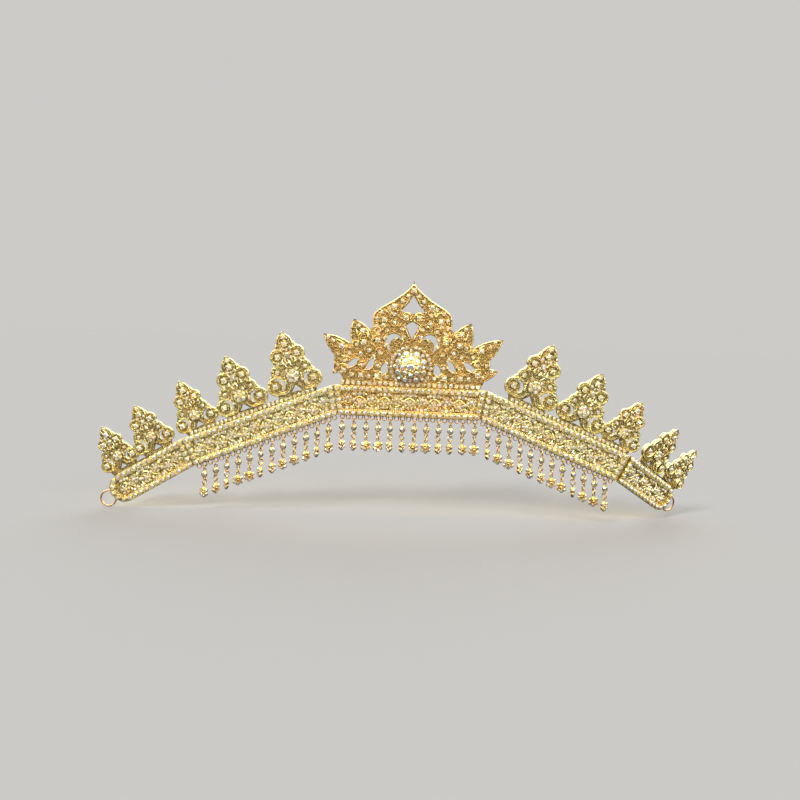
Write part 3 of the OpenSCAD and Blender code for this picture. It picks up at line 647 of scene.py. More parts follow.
def shaded_plating_tone():
    """Group: colour of gilding by depth, with painted shade. Hollows keep the deep tone, which stands in for
    the shade that falls there and for tarnish, ridges keep the bright tone, and patches of the plating are
    redder. Relief is 0 in the hollows and 1 on the ridges. Back is 1 on the plain back of the metal, which is
    even and bright."""
    group, given = new_group(
        "plating tone and painted shade",
        {
            "Sheet": (VECTOR, None), "Low": (NUMBER, 0.001), "High": (NUMBER, 0.002),
            "Deep": (COLOUR, None), "Bright": (COLOUR, None), "Warm": (COLOUR, None),
            "Warmth": (NUMBER, 0.5),
        },
        {"Color": COLOUR, "Relief": NUMBER, "Back": NUMBER},
    )
    depth = put(group, "ShaderNodeSeparateXYZ", {0: given["Sheet"]}).outputs[2]
    back = span(group, depth, BACK_END, BACK_DEPTH)
    depth = maths(group, "MULTIPLY_ADD", noise(group, given["Sheet"], RAGGED_NOISE, 2), RAGGED, depth)
    relief = span(group, depth, given["Low"], given["High"], ease="SMOOTHSTEP")
    lit = maths(group, "MAXIMUM", relief, back)
    # Painted shade: the hollows take the deep colour, which also stands for tarnish, and the ridges the
    # bright one.
    colour = mixed(group, lit, given["Deep"], given["Bright"])
    patch = span(group, noise(group, given["Sheet"], PATCH_NOISE, 3), 0.42, 0.66)
    patch = maths(group, "MULTIPLY", patch, given["Warmth"])
    colour = mixed(group, patch, colour, given["Warm"])
    return close_group(group, {"Color": colour, "Relief": lit, "Back": back})


def cast_grain():
    """Group: unevenness of cast and gilded metal. Height is a fine noise, small punched dimples and a beaten
    surface, all faint where Back is 1. Rough is a broad noise, and more on the back."""
    group, given = new_group(
        "cast grain",
        {
            "Vector": (VECTOR, None), "Grain": (NUMBER, 1500), "Dimples": (NUMBER, 900),
            "Punched": (NUMBER, 0.5), "Back": (NUMBER, 0),
        },
        {"Height": NUMBER, "Rough": NUMBER},
    )
    where = given["Vector"]
    cells = {"Vector": where, "Scale": given["Dimples"]}
    dimple = put(group, "ShaderNodeTexVoronoi", cells, feature="SMOOTH_F1").outputs["Distance"]
    dimple = maths(group, "MULTIPLY", dimple, given["Punched"])
    height = maths(group, "ADD", noise(group, where, given["Grain"], 3), dimple)
    height = maths(group, "MULTIPLY_ADD", noise(group, where, BEATEN_NOISE, 1), 2.4, height)
    share = maths(group, "MULTIPLY_ADD", given["Back"], -0.8, 1.0)
    rough = maths(group, "MULTIPLY_ADD", given["Back"], 0.25, noise(group, where, ROUGH_NOISE, 4))
    return close_group(group, {"Height": maths(group, "MULTIPLY", height, share), "Rough": rough})


def tarnish():
    """Group: brown specks of tarnish, thickest in the hollows."""
    group, given = new_group(
        "tarnish",
        {
            "Color": (COLOUR, None), "Vector": (VECTOR, None), "Relief": (NUMBER, 1),
            "Amount": (NUMBER, 0.3),
        },
        {"Color": COLOUR, "Mask": NUMBER},
    )
    speck = span(group, noise(group, given["Vector"], SPECK_NOISE, 5), 0.5, 0.7)
    hollow = span(group, given["Relief"], 0, 1, 1.0, 0.25)
    mask = maths(group, "MULTIPLY", maths(group, "MULTIPLY", speck, hollow), given["Amount"])
    return close_group(group, {"Color": mixed(group, mask, given["Color"], BROWN), "Mask": mask})


def stone_tint():
    """Group: colour of cut stones, one tint to a stone: mostly white, some rose, lilac or straw. Sheen moves
    the tints towards the blue, green and rose of coated glass. Foil is the colour behind the stones; where it
    is warm it also paints in a reflection of the gold round them."""
    group, given = new_group(
        "stone tint",
        {"Vector": (VECTOR, None), "Sheen": (NUMBER, 0), "Foil": (COLOUR, (1, 1, 1, 1))},
        {"Color": COLOUR},
    )
    cells = {"Vector": given["Vector"], "Scale": STONE_CELLS}
    cell = put(group, "ShaderNodeTexVoronoi", cells).outputs["Color"]
    chance = put(group, "ShaderNodeSeparateColor", {0: cell}).outputs
    clear = ramp(group, chance[0], CLEAR_TINTS, "CONSTANT")
    coated = ramp(group, chance[1], COATED_TINTS, "CONSTANT")
    tint = mixed(group, given["Sheen"], clear, coated)
    return close_group(group, {"Color": mixed(group, 1, tint, given["Foil"], "MULTIPLY")})


SHADED_PLATING, CAST, TARNISH, TINT = shaded_plating_tone(), cast_grain(), tarnish(), stone_tint()


def gold(name, tone, low=0.9, high=2.15, rough=0.2, punched=1.0, stain=0.35, place=None):
    """Gilded brass, with painted shade: deep below low, which also stands for tarnish, and bright above high.
    Object coordinates are turned into the sheet of the panel at place, so depth and pattern follow it.
    Without a place it is wire and has no plain back."""
    material, tree = new_material(name)
    sheet_from_crown = np.linalg.inv((np.eye(4) if place is None else place) @ SHEET)
    mirrored = np.linalg.det(sheet_from_crown[:3, :3]) < 0
    turned = sheet_from_crown @ MIRROR if mirrored else sheet_from_crown
    sheet = put(tree, "ShaderNodeMapping", {
        "Vector": put(tree, "ShaderNodeTexCoord").outputs["Object"],
        "Location": [v * MM for v in turned[:3, 3]],
        "Rotation": Matrix(turned[:3, :3].tolist()).to_euler("XYZ"), "Scale": (-1 if mirrored else 1, 1, 1),
    }).outputs[0]
    # The plating group paints shade into the hollows; the tarnish group then adds brown specks.
    plated_and_shaded = placed(tree, SHADED_PLATING, {"Sheet": sheet, "Low": low * MM, "High": high * MM, **tone})
    back = 0.0 if place is None else plated_and_shaded["Back"]
    cast = placed(tree, CAST, {"Vector": sheet, "Punched": punched, "Back": back})
    stained_and_shaded = placed(tree, TARNISH, {
        "Color": plated_and_shaded["Color"], "Vector": sheet, "Relief": plated_and_shaded["Relief"], "Amount": stain,
    })
    roughness = span(tree, cast["Rough"], 0.3, 0.7, rough * 0.65, rough * 1.5)
    roughness = maths(tree, "MULTIPLY_ADD", stained_and_shaded["Mask"], 0.35, roughness)
    bump = put(tree, "ShaderNodeBump", {
        "Height": cast["Height"], "Strength": BUMP_STRENGTH, "Distance": BUMP_DEPTH,
    }).outputs[0]
    return close_material(material, put(tree, "ShaderNodeBsdfPrincipled", {
        "Base Color": stained_and_shaded["Color"], "Metallic": 1.0, "Roughness": roughness, "Normal": bump,
    }))


def crystal(name, sheen=0.0, foil_and_reflection=(0.96, 0.92, 0.84), metallic=0.45, rough=0.1):
    """Foil-backed cut glass: a bright mirror under clear glass, with one tint to a stone, times a foil colour
    whose warmth is a painted reflection of the gold setting.
    """
    material, tree = new_material(name)
    here = put(tree, "ShaderNodeTexCoord").outputs["Object"]
    tint = placed(tree, TINT, {"Vector": here, "Sheen": sheen, "Foil": (*foil_and_reflection, 1)})
    return close_material(material, put(tree, "ShaderNodeBsdfPrincipled", {
        "Base Color": tint["Color"], "Metallic": metallic, "Roughness": rough, "IOR": 1.6,
        "Coat Weight": 0.5, "Coat Roughness": 0.02,
    }))


def gilding(deep, bright, warm, warmth):
    """Colours of a gilding, as the plating tone and shade group takes them: the deep one is painted shade in
    the hollows, partly tarnish.
    """
    return {"Deep": (*deep, 1), "Bright": (*bright, 1), "Warm": (*warm, 1), "Warmth": warmth}


# Deep colours are painted shade in the hollows, partly tarnish.
CENTRE_TONE = gilding((0.4, 0.22, 0.045), (1.0, 0.83, 0.38), (0.96, 0.6, 0.2), 0.45)
SIDE_TONE = gilding((0.355, 0.235, 0.066), (1.0, 0.92, 0.5), (0.94, 0.66, 0.26), 0.4)
WIRE_TONE = gilding((0.42, 0.24, 0.06), (0.8, 0.42, 0.16), (0.66, 0.29, 0.1), 0.3)
FRINGE_TONE = gilding((0.42, 0.24, 0.06), (0.7, 0.46, 0.1), (0.5, 0.26, 0.05), 0.3)
# Wire is bright at every depth.
ALL_BRIGHT = {"low": -6, "high": -5, "punched": 0.1}
GILT = {
    p.body: gold(
        "gilt " + p.body.replace("_", " "), CENTRE_TONE if p.body == "centre" else SIDE_TONE, place=p.place,
    )
    for p in PANELS
}
# The rosette's lower parts take the deep colour as painted shade, its top the bright one.
ROSETTE_GILT = gold("gilt rosette", CENTRE_TONE, low=2.6, high=6.4, rough=0.3, place=np.eye(4))
WIRE_GILT = gold("gilt wire", WIRE_TONE, rough=0.25, stain=0.3, **ALL_BRIGHT)
FRINGE_GILT = gold("gilt fringe", FRINGE_TONE, rough=0.16, stain=0.4, **ALL_BRIGHT)
# The warm foils of these stones are painted reflection of the gold round them; the coated stones' white foil
# adds none.
CRYSTAL = crystal("cut crystal")
COATED_CRYSTAL = crystal("coated crystal", sheen=0.7, foil_and_reflection=(1, 1, 1), metallic=0.7, rough=0.05)
FRINGE_CRYSTAL = crystal("fringe crystal", foil_and_reflection=(0.93, 0.88, 0.7), metallic=0.72, rough=0.07)


# Drawing the ornament
def full_bar(n, ends=6):
    """Width along a bar, 0 at its poles and 1 between: square root of 1 - |2s - 1| to the power ends."""
    s = np.linspace(0, 1, n)
    return np.sqrt(np.clip(1 - np.abs(2 * s - 1) ** ends, 0, 1))


def leaf_bar(n, belly=0.45):
    """Width along a leaf: sine of pi s, with s bent so that the leaf is widest at belly."""
    s = np.linspace(0, 1, n) ** (math.log(0.5) / math.log(belly))
    return np.sin(np.pi * s)


def scroll_path(a, b, radius, first, last, eye, n=30):
    """Scroll round (a, b): its radius eases from radius to eye over the last 45 in 100 of its way from first
    to last, in degrees."""
    s = np.linspace(0, 1, n)
    t = np.radians(first + (last - first) * s)
    ease = np.clip((s - 0.55) / 0.45, 0, 1)
    r = radius + (eye - radius) * ease * ease * (3 - 2 * ease)
    return np.stack([a + r * np.cos(t), b + r * np.sin(t)], 1)


def through(points, n=20):
    """Smooth path through a few points: Catmull-Rom spline, n points in all."""
    p = np.asarray(points, float)
    p = np.concatenate([[2 * p[0] - p[1]], p, [2 * p[-1] - p[-2]]])
    s = np.linspace(0, len(p) - 3 - 1e-9, n)
    i = s.astype(int)
    t = (s - i)[:, None]
    a, b, c, d = p[i], p[i + 1], p[i + 2], p[i + 3]
    bend = (2 * a - 5 * b + 4 * c - d) * t**2
    return 0.5 * (2 * b + (c - a) * t + bend + (3 * b - a - 3 * c + d) * t**3)


def inset_path(path, inset):
    """Path moved to its right by inset: point minus inset times the path's left-hand normal."""
    along = np.gradient(path, axis=0)
    along /= np.linalg.norm(along, axis=1, keepdims=True)
    return path + inset * np.stack([along[:, 1], -along[:, 0]], 1)


def lens_frame(base, tip, width):
    """Middle, direction and left-hand normal of a pointed leaf, and the radius of its two arcs:
    (length^2 + width^2) / (4 width)."""
    base, tip = np.asarray(base, float), np.asarray(tip, float)
    length = np.linalg.norm(tip - base)
    along = (tip - base) / length
    across = np.array([-along[1], along[0]])
    return (base + tip) / 2, along, across, (length**2 + width**2) / (4 * width)


def lens_edges(base, tip, width, inset, first=0.0, n=22):
    """The two edges of a pointed leaf, moved in by inset, as paths from first, a share of its length, to its
    tip."""
    middle, along, across, r = lens_frame(base, tip, width)
    reach = math.sqrt(r * r - (r - width / 2) ** 2) - 2.2 * inset
    t = np.linspace(2 * first - 1, 1, n) * reach
    half = np.maximum(np.sqrt((r - inset) ** 2 - t**2) - (r - width / 2), 0)
    return [middle + t[:, None] * along + side * half[:, None] * across for side in (1, -1)]


def even_row(a, b, pitch=BORDER_PITCH):
    """Places from a to b, evenly spaced at about pitch."""
    return np.linspace(a, b, round(abs(b - a) / pitch) + 1)


def in_round(p, middle, radius):
    """Nearer to middle than radius."""
    return ((p - np.asarray(middle, float)) ** 2).sum(1) < radius * radius


def in_lens(p, base, tip, width, inset=0.0):
    """Inside both arcs of a pointed leaf."""
    middle, _, across, r = lens_frame(base, tip, width)
    off = (r - width / 2) * across
    return in_round(p, middle + off, r - inset) & in_round(p, middle - off, r - inset)


def in_outline(p, corners):
    """Crossing test: an odd number of edges pass to the right of p."""
    first = np.asarray(corners, float)
    then = np.roll(first, -1, axis=0)
    passed = (first[:, 1] > p[:, 1:]) != (then[:, 1] > p[:, 1:])
    rise = np.where(then[:, 1] == first[:, 1], 1.0, then[:, 1] - first[:, 1])
    cross = first[:, 0] + (p[:, 1:] - first[:, 1]) * (then[:, 0] - first[:, 0]) / rise
    return (passed & (p[:, :1] < cross)).sum(1) % 2 == 1


def half_place(place, side):
    """Place of the right half (1) or of the left half (-1), which is its mirror image."""
    return place @ np.diag([side, 1.0, 1.0, 1.0])


# Granules of the ground: distance in a row, distance of rows, radius and how far each strays.
GRAIN_PITCH, GRAIN_ROW, GRAIN_R, GRAIN_STRAY = 0.84, 0.866 * 0.84, 0.31, 0.13


class Bench:
    """The trays of one panel: chased metal, seed stones and main stones. taken lists what ornament covers of
    the sheet, and by_hand deals out the small differences of hand work."""

    def __init__(self, seed):
        self.metal, self.seeds, self.stones = Tray(), Tray(), Tray()
        self.by_hand = np.random.default_rng(seed)
        self.taken = []

    def take(self, points, reach):
        """Notes that ornament covers these points of the sheet, reach round each."""
        points = pairs(points)
        self.taken.append(np.column_stack([points, np.broadcast_to(reach, len(points))]))

    def ground(self, place, low, high, inside, mirrored=False, c=1.0):
        """Granules on a hexagonal grid over what no ornament has taken: kept where inside(points) is true and
        no taken point is within its reach plus half a granule. A mirrored ground is tested on its right
        half."""
        i, j = np.meshgrid(
            np.arange(int((high[0] - low[0]) / GRAIN_PITCH) + 1),
            np.arange(int((high[1] - low[1]) / GRAIN_ROW) + 1), indexing="ij",
        )
        grid = pairs(np.stack([low[0] + (i + 0.5 * (j % 2)) * GRAIN_PITCH, low[1] + GRAIN_ROW * j], -1))
        test = np.abs(grid) * [1, 0] + grid * [0, 1] if mirrored else grid
        kept = inside(test)
        grid, test = grid[kept], test[kept]
        grid = grid + self.by_hand.uniform(-GRAIN_STRAY, GRAIN_STRAY, grid.shape)
        taken = np.concatenate(self.taken)
        apart = ((test[:, None] - taken[None, :, :2]) ** 2).sum(2)
        grid = grid[(apart > (taken[:, 2] + 0.5 * GRAIN_R) ** 2).all(1)]
        self.metal.add(GRAIN, place @ spots(grid, c, GRAIN_R * self.by_hand.uniform(0.8, 1.15, len(grid))))
        self.taken = []

    def vary(self, points):
        """How stones differ when set by hand: any spin, and a tip of 2 to 14 degrees to any side."""
        k = len(points)
        return {
            "spin": self.by_hand.uniform(0, 360, k), "tip": self.by_hand.uniform(2, 14, k),
            "tip_way": self.by_hand.uniform(0, 360, k),
        }

    def bar(self, place, path, wide, high, c, ends=6, sides=8):
        """Bar of even width along a path, rounded off at its ends."""
        full = full_bar(len(path), ends)
        self.metal.add(bar_form(path, wide * full, high * full, sides, c), place)
        self.take(path, wide)

    def leaf(self, place, path, wide, high, c, belly=0.45, sides=8):
        """Pointed leaf along a path, widest at belly."""
        full = leaf_bar(len(path), belly)
        self.metal.add(bar_form(path, wide * full, high * full, sides, c), place)
        self.take(path, wide * full)

    def seed(self, place, points, c, size):
        """Seed stones of radius size in their cups, flat back at height c."""
        points = pairs(points)
        self.metal.add(SEED_CUP, place @ spots(points, c, size))
        self.take(points, 1.2 * size)
        self.seeds.add(SEED, place @ spots(points, c + 0.05, size * 0.97, **self.vary(points)))

    def stone(self, place, points, c, size=BIG_STONE_R, tall=1.24, prongs=4, stretch=(1.0, 1.0), lean=None):
        """Main stones, culet at height c, held by small beads of metal. lean is their tip and its way."""
        points = pairs(points)
        pose = self.vary(points) if lean is None else {"tip": lean[0], "tip_way": lean[1]}
        self.stones.add(BRILLIANT, place @ spots(points, c, size, **pose) @ np.diag([*stretch, tall, 1.0]))
        self.take(points, 1.4 * size)
        if prongs:
            ring = circle(1.17 * size, np.radians(45 + 360 * np.arange(prongs) / prongs)) * stretch
            beads = pairs(points[:, None] + ring)
            self.metal.add(BEAD, place @ spots(beads, c + 0.6 * tall * size, 0.27 * size))

    def beads(self, place, points, c, size, form=BEAD):
        """Round beads of radius size, or the grains of a milled edge."""
        self.metal.add(form, place @ spots(points, c, size))
        self.take(points, size)

    def hoop(self, place, points, radius, wire, c, around=22):
        """Round wires soldered on at the points."""
        self.metal.add(hoop_form(radius, wire, around), place @ spots(points, c))
        rim = pairs(points)[:, None] + circle(radius, 2 * np.pi * np.arange(24) / 24)
        self.take(rim, wire)


# Flowers of the band: their distances from each other, from the border and from the middle line, and the
# radii of their hoop and of their ring of petals.
FLOWER_PITCH, FLOWER_START, FLOWER_OFF = 6.1, 2.7, 1.2
FLOWER_HOOP_R, FLOWER_PETALS_R = 2.55, 1.72
# The three stones on the other side of a flower, and the running scroll: its swing and how far it runs on.
THREE_OFF, THREE_PITCH = 3.55, 2.15
SCROLL_SWING, SCROLL_END = 2.15, 2.6
# Milled edges: distance from grain to grain, and each edge's distance from the band's edge, its height and
# the radius of its grains.
MILLED_PITCH = 0.95
MILLED_EDGES = [(BORDER + 0.05, 1.45, 0.38), (0.2, 1.5, 0.32)]
# Leaf beside a flower, from the flower's place on the middle line.
FLOWER_LEAF = [(2.2, 3.9), (2.9, 3.2), (3.1, 2.3), (2.9, 1.4)]


def border_ornament(bench, panel, place):
    """Border stones down the straight edges and round the ends, pairs of grains between, and milled edges."""
    inset = BORDER / 2
    b = BAND_HALF - inset
    rows = [row_at(even_row(panel.first(z, inset), panel.last(z, inset)), z) for z in (b, -b)]
    ends = [(panel.first(z, inset), z) for z in (-b / 2, 0, b / 2)]
    if panel.rounded:
        round_end = [panel.last(0), 0] + circle(b, np.radians(np.arange(-60, 61, 30)))
        border = [*rows, round_end, ends]
    else:
        border = [*rows, ends + [(panel.last(z, inset), z) for z in (-b / 2, 0, b / 2)]]
    bench.seed(place, np.concatenate(border), 2.0, 1.2)
    for row in rows:
        between = (row[1:] + row[:-1]) / 2
        for off in (-0.95, 0.95):
            bench.beads(place, between + [0, off], 1.62, 0.34)
    for side in (1, -1):
        for deep, c, size in MILLED_EDGES:
            z = side * (BAND_HALF - deep)
            a = even_row(panel.first(z, deep), panel.last(z, deep), MILLED_PITCH)
            bench.beads(place, row_at(a, z), c, size, GRAIN)


def band_ornament(bench, panel):
    """Border, a running scroll, and flowers above and below it by turns."""
    place = panel.place @ SHEET
    border_ornament(bench, panel, place)
    first, last = panel.first(0, BORDER + FLOWER_START), panel.last(0, BORDER + FLOWER_START)
    count = round((last - first) / FLOWER_PITCH)
    step = (last - first) / count
    a = np.linspace(first, last, count + 1)
    way = np.where(np.arange(count + 1) % 2 == 0, 1.0, -1.0)
    # Flowers of a hoop, six petals and a heart, and three stones on their other side.
    flowers = row_at(a, FLOWER_OFF * way)
    bench.hoop(place, flowers, FLOWER_HOOP_R, 0.3, 1.5)
    petals = flowers[:, None] + circle(FLOWER_PETALS_R, 2 * np.pi * np.arange(6) / 6 + 0.2)
    bench.seed(place, petals, 1.45, 0.66)
    bench.take(flowers, 2.5)
    bench.seed(place, flowers, 1.9, 0.98)
    across = row_at(a, -THREE_OFF * way)
    bench.seed(place, across[1:] - [THREE_PITCH, 0], 1.3, 0.88)
    bench.seed(place, across, 1.3, 1.0)
    bench.seed(place, across[:-1] + [THREE_PITCH, 0], 1.3, 0.88)
    bench.seed(place, row_at((a[1:] + a[:-1]) / 2, -0.3 * way[1:]), 1.5, 0.82)
    # Running scroll that passes round each flower, and leaves in its bends.
    s = np.linspace(first - SCROLL_END, last + SCROLL_END, 12 * count + 12)
    stem = row_at(s, -SCROLL_SWING * np.cos(np.pi * (s - first) / step))
    bench.bar(place, stem, 0.3, 0.42, 1.3, ends=60, sides=6)
    for flower_a, flower_way in zip(a, way):
        for side in (1, -1):
            leaf = pairs(FLOWER_LEAF) * [side, flower_way] + [flower_a, 0]
            if panel.first(0, BORDER) + 0.6 < leaf[1, 0] < panel.last(0, BORDER) - 0.4:
                bench.leaf(place, through(leaf, 9), 0.5, 0.5, 1.3, sides=6)

    def inside(p):
        wide = BAND_HALF - 0.3
        kept = (np.abs(p[:, 1]) < wide) & (p[:, 0] > panel.first(p[:, 1], 0.4))
        if panel.rounded:
            return kept & ((p[:, 0] < panel.last(0)) | in_round(p, (panel.last(0), 0), wide))
        return kept & (p[:, 0] < panel.last(p[:, 1], 0.4))

    low, high = (panel.first(BAND_HALF), -BAND_HALF), (panel.last(BAND_HALF) + BAND_HALF, BAND_HALF)
    bench.ground(place, low, high, inside, c=1.05)


def rail_ornament(panel):
    """Round wire over each hanging ring of the rail."""
    tray = Tray()
    rings = spots(row_at(panel.ring_a(np.arange(panel.rings)), -RING_DROP), RING_C)
    tray.add(hoop_form(RING_R, 0.27, 20, 8), panel.place @ SHEET @ rings)
    return tray


def foot_ornament(bench, panel):
    """Row of seed stones on the strip under an inner panel's crests."""
    a = even_row(panel.crests[0][0] - 7.5, panel.crests[-1][0] + 5.5, 2.35)
    bench.seed(panel.place @ SHEET, row_at(a, BAND_HALF + INNER_FOOT / 2), 1.35, 0.86)


def side_crest_half(bench, at, size, k, eye, top_leaf):
    """Ornament of one half of a side crest: scrolls, gap wires, seed stones, leaves, beads and fills."""
    w, h = size
    for x, y, r, stem, first, last in CREST_SCROLLS:
        curl = scroll_path(x * w, y * h, r * w, first, last, r * w - 0.5 * k)[::2]
        edge = through(np.concatenate([pairs(stem) * size, curl]), 44)
        for inset, wide, high, c, skip, stop in CREST_WIRES:
            path = inset_path(edge, -inset * k)[skip:stop]
            bench.bar(at, path, wide * k, high * k, c)
    for middle in (GAP_OUTER, GAP_INNER):
        edge = scroll_path(*(eye + np.array(middle) * w), GAP_R * w, 66, 254, GAP_R * w, 22)
        bench.bar(at, edge, 0.42 * k, 0.55 * k, 1.45)
    for points, c, radius in CREST_SEEDS:
        bench.seed(at, pairs(points) * size, c, radius * k)
    for path, wide in CREST_LEAVES:
        bench.leaf(at, through(pairs(path) * size, 14), wide * k, 0.55, 1.25, belly=0.55)
    bench.beads(at, pairs(CREST_BEADS) * size, 1.25, 0.46 * k)
    for path in CREST_FILLS:
        bench.bar(at, through(pairs(path) * size, 10), 0.85 * k, 0.75, 0.75)
    for inset, wide, first in ((0.42, 0.42, 0.2), (1.25, 0.26, 0.3)):
        bench.bar(at, lens_edges(*top_leaf, inset * k, first)[1], wide * k, 0.55 * k, 1.3)


def side_crest_ornament(bench, place, w, h, foot):
    """Scrolls, leaves and stones of a flame-shaped side crest of width w and height h, above its foot strip.
    k is its scale beside the largest one."""
    k = (w / SIDE_W + h / SIDE_H) / 2
    size = np.array([w, h])
    eye = size * CREST_SCROLLS[0][:2]
    top_leaf = (0, TOP_LEAF_B * h), (0, h), TOP_LEAF_WIDE * w
    bench.taken = []
    if foot > 2:
        bench.take(row_at(even_row(-0.36 * w, 0.36 * w, 0.8), foot / 2), 0.95)
    for side in (1, -1):
        side_crest_half(bench, half_place(place, side), size, k, eye, top_leaf)
    bench.leaf(place, through(pairs(MIDDLE_LEAF) * size, 12), 0.8 * k, 0.6, 1.2)
    bench.leaf(place, through(pairs(CREST_POINT) * size, 14), 2.2 * k, 0.6, 0.75, belly=0.32)
    cluster = np.array([0, CLUSTER_B * h])
    bench.seed(place, cluster + circle(CLUSTER_R * k, np.radians(90 + 72 * np.arange(5))), 1.7, 1.08 * k)
    bench.seed(place, cluster, 2.1, 1.15 * k)
    for points, c, radius in MIDDLE_SEEDS:
        bench.seed(place, pairs(points) * size, c, radius * k)
    bench.stone(place, pairs(CREST_STONES) * size, STONE_SEAT)

    def inside(p):
        kept = in_outline(p, pairs(CREST_BODY) * size) | in_lens(p, *top_leaf, 0.3)
        for x, y, r in (scroll[:3] for scroll in CREST_SCROLLS):
            kept |= in_round(p, (x * w, y * h), r * w - 0.35)
        slit = in_round(p, eye + np.array(GAP_OUTER) * w, GAP_R * w + 0.25)
        slit &= ~in_round(p, eye + np.array(GAP_INNER) * w, GAP_R * w - 0.25)
        gap = [(-0.14 * w, foot + 0.02 * h), (0.14 * w, foot + 0.02 * h), (0, foot + 0.125 * h + 0.8)]
        return kept & ~slit & ~in_outline(p, gap) & (p[:, 1] > 0.2)

    bench.ground(place, (-0.52 * w, 0), (0.52 * w, h), inside, mirrored=True)


def arch_edge(n=26):
    """Right edge of the centre arch, from its tip to its foot: two cubic curves, then nearly straight."""
    tip, waist = np.array([0, CREST_H]), np.array([9, CREST_H - 9])
    shoulder = np.array([19.9, CREST_H - 19.4])

    def cubic(a, b, c, d):
        t = np.linspace(0, 1, n)[:, None]
        return a * (1 - t) ** 3 + 3 * b * t * (1 - t) ** 2 + 3 * c * t * t * (1 - t) + d * t**3

    upper = cubic(tip, tip + [1.5, -4], waist + [-3, 2.5], waist)
    lower = cubic(waist, waist + [5, -3.4], shoulder + [0.3, 5], shoulder)
    return np.concatenate([upper, lower[1:], [[19.7, 30.0], [19.4, 27.0], [19.2, 23.0]]])


def gap_ends(gap, more):
    """The two tips of a leaf-shaped gap of the centre crest, each moved out by more."""
    half = circle(gap[2] / 2 + more, math.radians(gap[4]))
    return gap[:2] - half, gap[:2] + half


def centre_inside(p, side):
    """Whether points of one half, drawn on the right, lie on the centre crest, clear of its edge and gaps."""
    arch = np.concatenate([inset_path(arch_edge(), 0.35), [[18, 0.2], [-1, 0.2], [-1, CREST_H - 1]]])
    kept = in_outline(p, arch)
    for x0, y0, x1, y1, width in CENTRE_LEAVES[side]:
        kept |= in_lens(p, (x0, y0), (x1, y1), width, 0.35)
    body = np.array([(34.4, 0.2), *CENTRE_EDGE[side]]) - [0.4, 0]
    kept |= in_outline(p, [(0, 0.2), *body, (30.4, 20.6), (19, 29.6), (0, 29.6)])
    for gap in CENTRE_GAPS:
        kept &= ~in_lens(p, *gap_ends(gap, 0.4), gap[3] + 0.6)
    kept &= ~(in_round(p, CRESCENT, CRESCENT_R) & ~in_round(p, CRESCENT_HORN, CRESCENT_HORN_R))
    kept &= ~(in_outline(p, ARROW_GAP) & ~in_round(p, CENTRE_SCROLLS[0][:2], CENTRE_SCROLLS[0][2]))
    kept &= ~in_outline(p, KITE_GAP)
    return kept & (p[:, 0] >= 0)


def centre_leaf(bench, at, x0, y0, x1, y1, width):
    """Edges of a side leaf of the centre crest, and three pairs of small leaves along its middle."""
    for inset, wide, start in ((0.45, 0.42, 0.4), (1.35, 0.25, 0.5)):
        for path in lens_edges((x0, y0), (x1, y1), width, inset, start):
            bench.bar(at, path, wide, wide + 0.15, 1.25)
    along = np.array([x1 - x0, y1 - y0])
    across = np.array([-along[1], along[0]]) / np.linalg.norm(along)
    for s in (0.5, 0.62, 0.74):
        foot = np.array([x0, y0]) + s * along
        for way in (1, -1):
            reach = (1 - s) * 0.42 * width * way * across
            path = through([foot, foot + 0.55 * reach + 0.06 * along, foot + reach + 0.1 * along], 10)
            bench.leaf(at, path, 0.36, 0.45, 1.2)


def centre_crest_half(bench, at, side):
    """Ornament of one half of the centre crest, drawn on the right: arch, scrolls, leaves, wires, stones."""
    edge = arch_edge()
    bench.bar(at, inset_path(edge, 0.5)[2:], 0.46, 0.62, 1.3, ends=40)
    if side < 0:
        bench.seed(at, KNOB_SEEDS, 1.5, 0.6)
    bench.bar(at, through(*EDGE_WIRE[side]), 0.42, 0.55, 1.25)
    bench.seed(at, EDGE_SEEDS[side], 1.35, 0.85)
    bench.bar(at, inset_path(edge, 1.5)[5:-4], 0.27, 0.45, 1.2, ends=40, sides=6)
    for a, b, r, first, last, eye in CENTRE_SCROLLS:
        for i in range(2 if r > LARGE_SCROLL_R else 1):
            path = scroll_path(a, b, r - 0.85 * i, first + 10 * i, last - 35 * i, max(eye - 0.85 * i, 1.2))
            bench.bar(at, path, 0.43, 0.55 - 0.08 * i, 1.6 - 0.15 * i)
    for leaf in CENTRE_LEAVES[side]:
        centre_leaf(bench, at, *leaf)
    bench.seed(at, CENTRE_SEEDS, 1.35, 0.98)
    wires = [path for gap in CENTRE_GAPS for path in lens_edges(*gap_ends(gap, 0.45), gap[3] + 0.9, 0.0)]
    wires.append(scroll_path(*CRESCENT, CRESCENT_WIRE_R, -48, 196, CRESCENT_WIRE_R, 34))
    wires += [through(path, 26) for path in GAP_WIRES]
    for path in wires:
        bench.bar(at, path, 0.36, 0.55, 1.3, ends=20)
    bench.stone(at, CENTRE_STONES, STONE_SEAT)
    for path in GROUND_LEAVES:
        bench.leaf(at, through(path, 14), 0.6, 0.6, 1.2)
    about = [0, ROSETTE_B] + circle(ROSETTE_RING_R, np.radians(np.arange(-44, 90, 13.5)))
    bench.seed(at, about, 1.5, 0.95)


def centre_crest_ornament(bench):
    """Both halves of the tall centre crest with their ground, the stones along its foot and its tip stone."""
    place = shift(z=BAND_HALF) @ SHEET
    strip = row_at(even_row(-STRIP_END, STRIP_END, STRIP_PITCH), STRIP_B)
    tip_stone = [0, CREST_H - TIP_STONE_DROP]
    for side in (1, -1):
        at = half_place(place, side)
        bench.taken = []
        bench.take([0, ROSETTE_B], ROSETTE_R - 0.5)
        bench.take(tip_stone, 1.7)
        bench.take(strip, 1.25)
        centre_crest_half(bench, at, side)
        bench.ground(at, (0, 0), (47, CREST_H), lambda p, side=side: centre_inside(p, side))
    bench.seed(place, strip, 1.35, 1.05)
    bench.stone(place, tip_stone, STONE_SEAT)


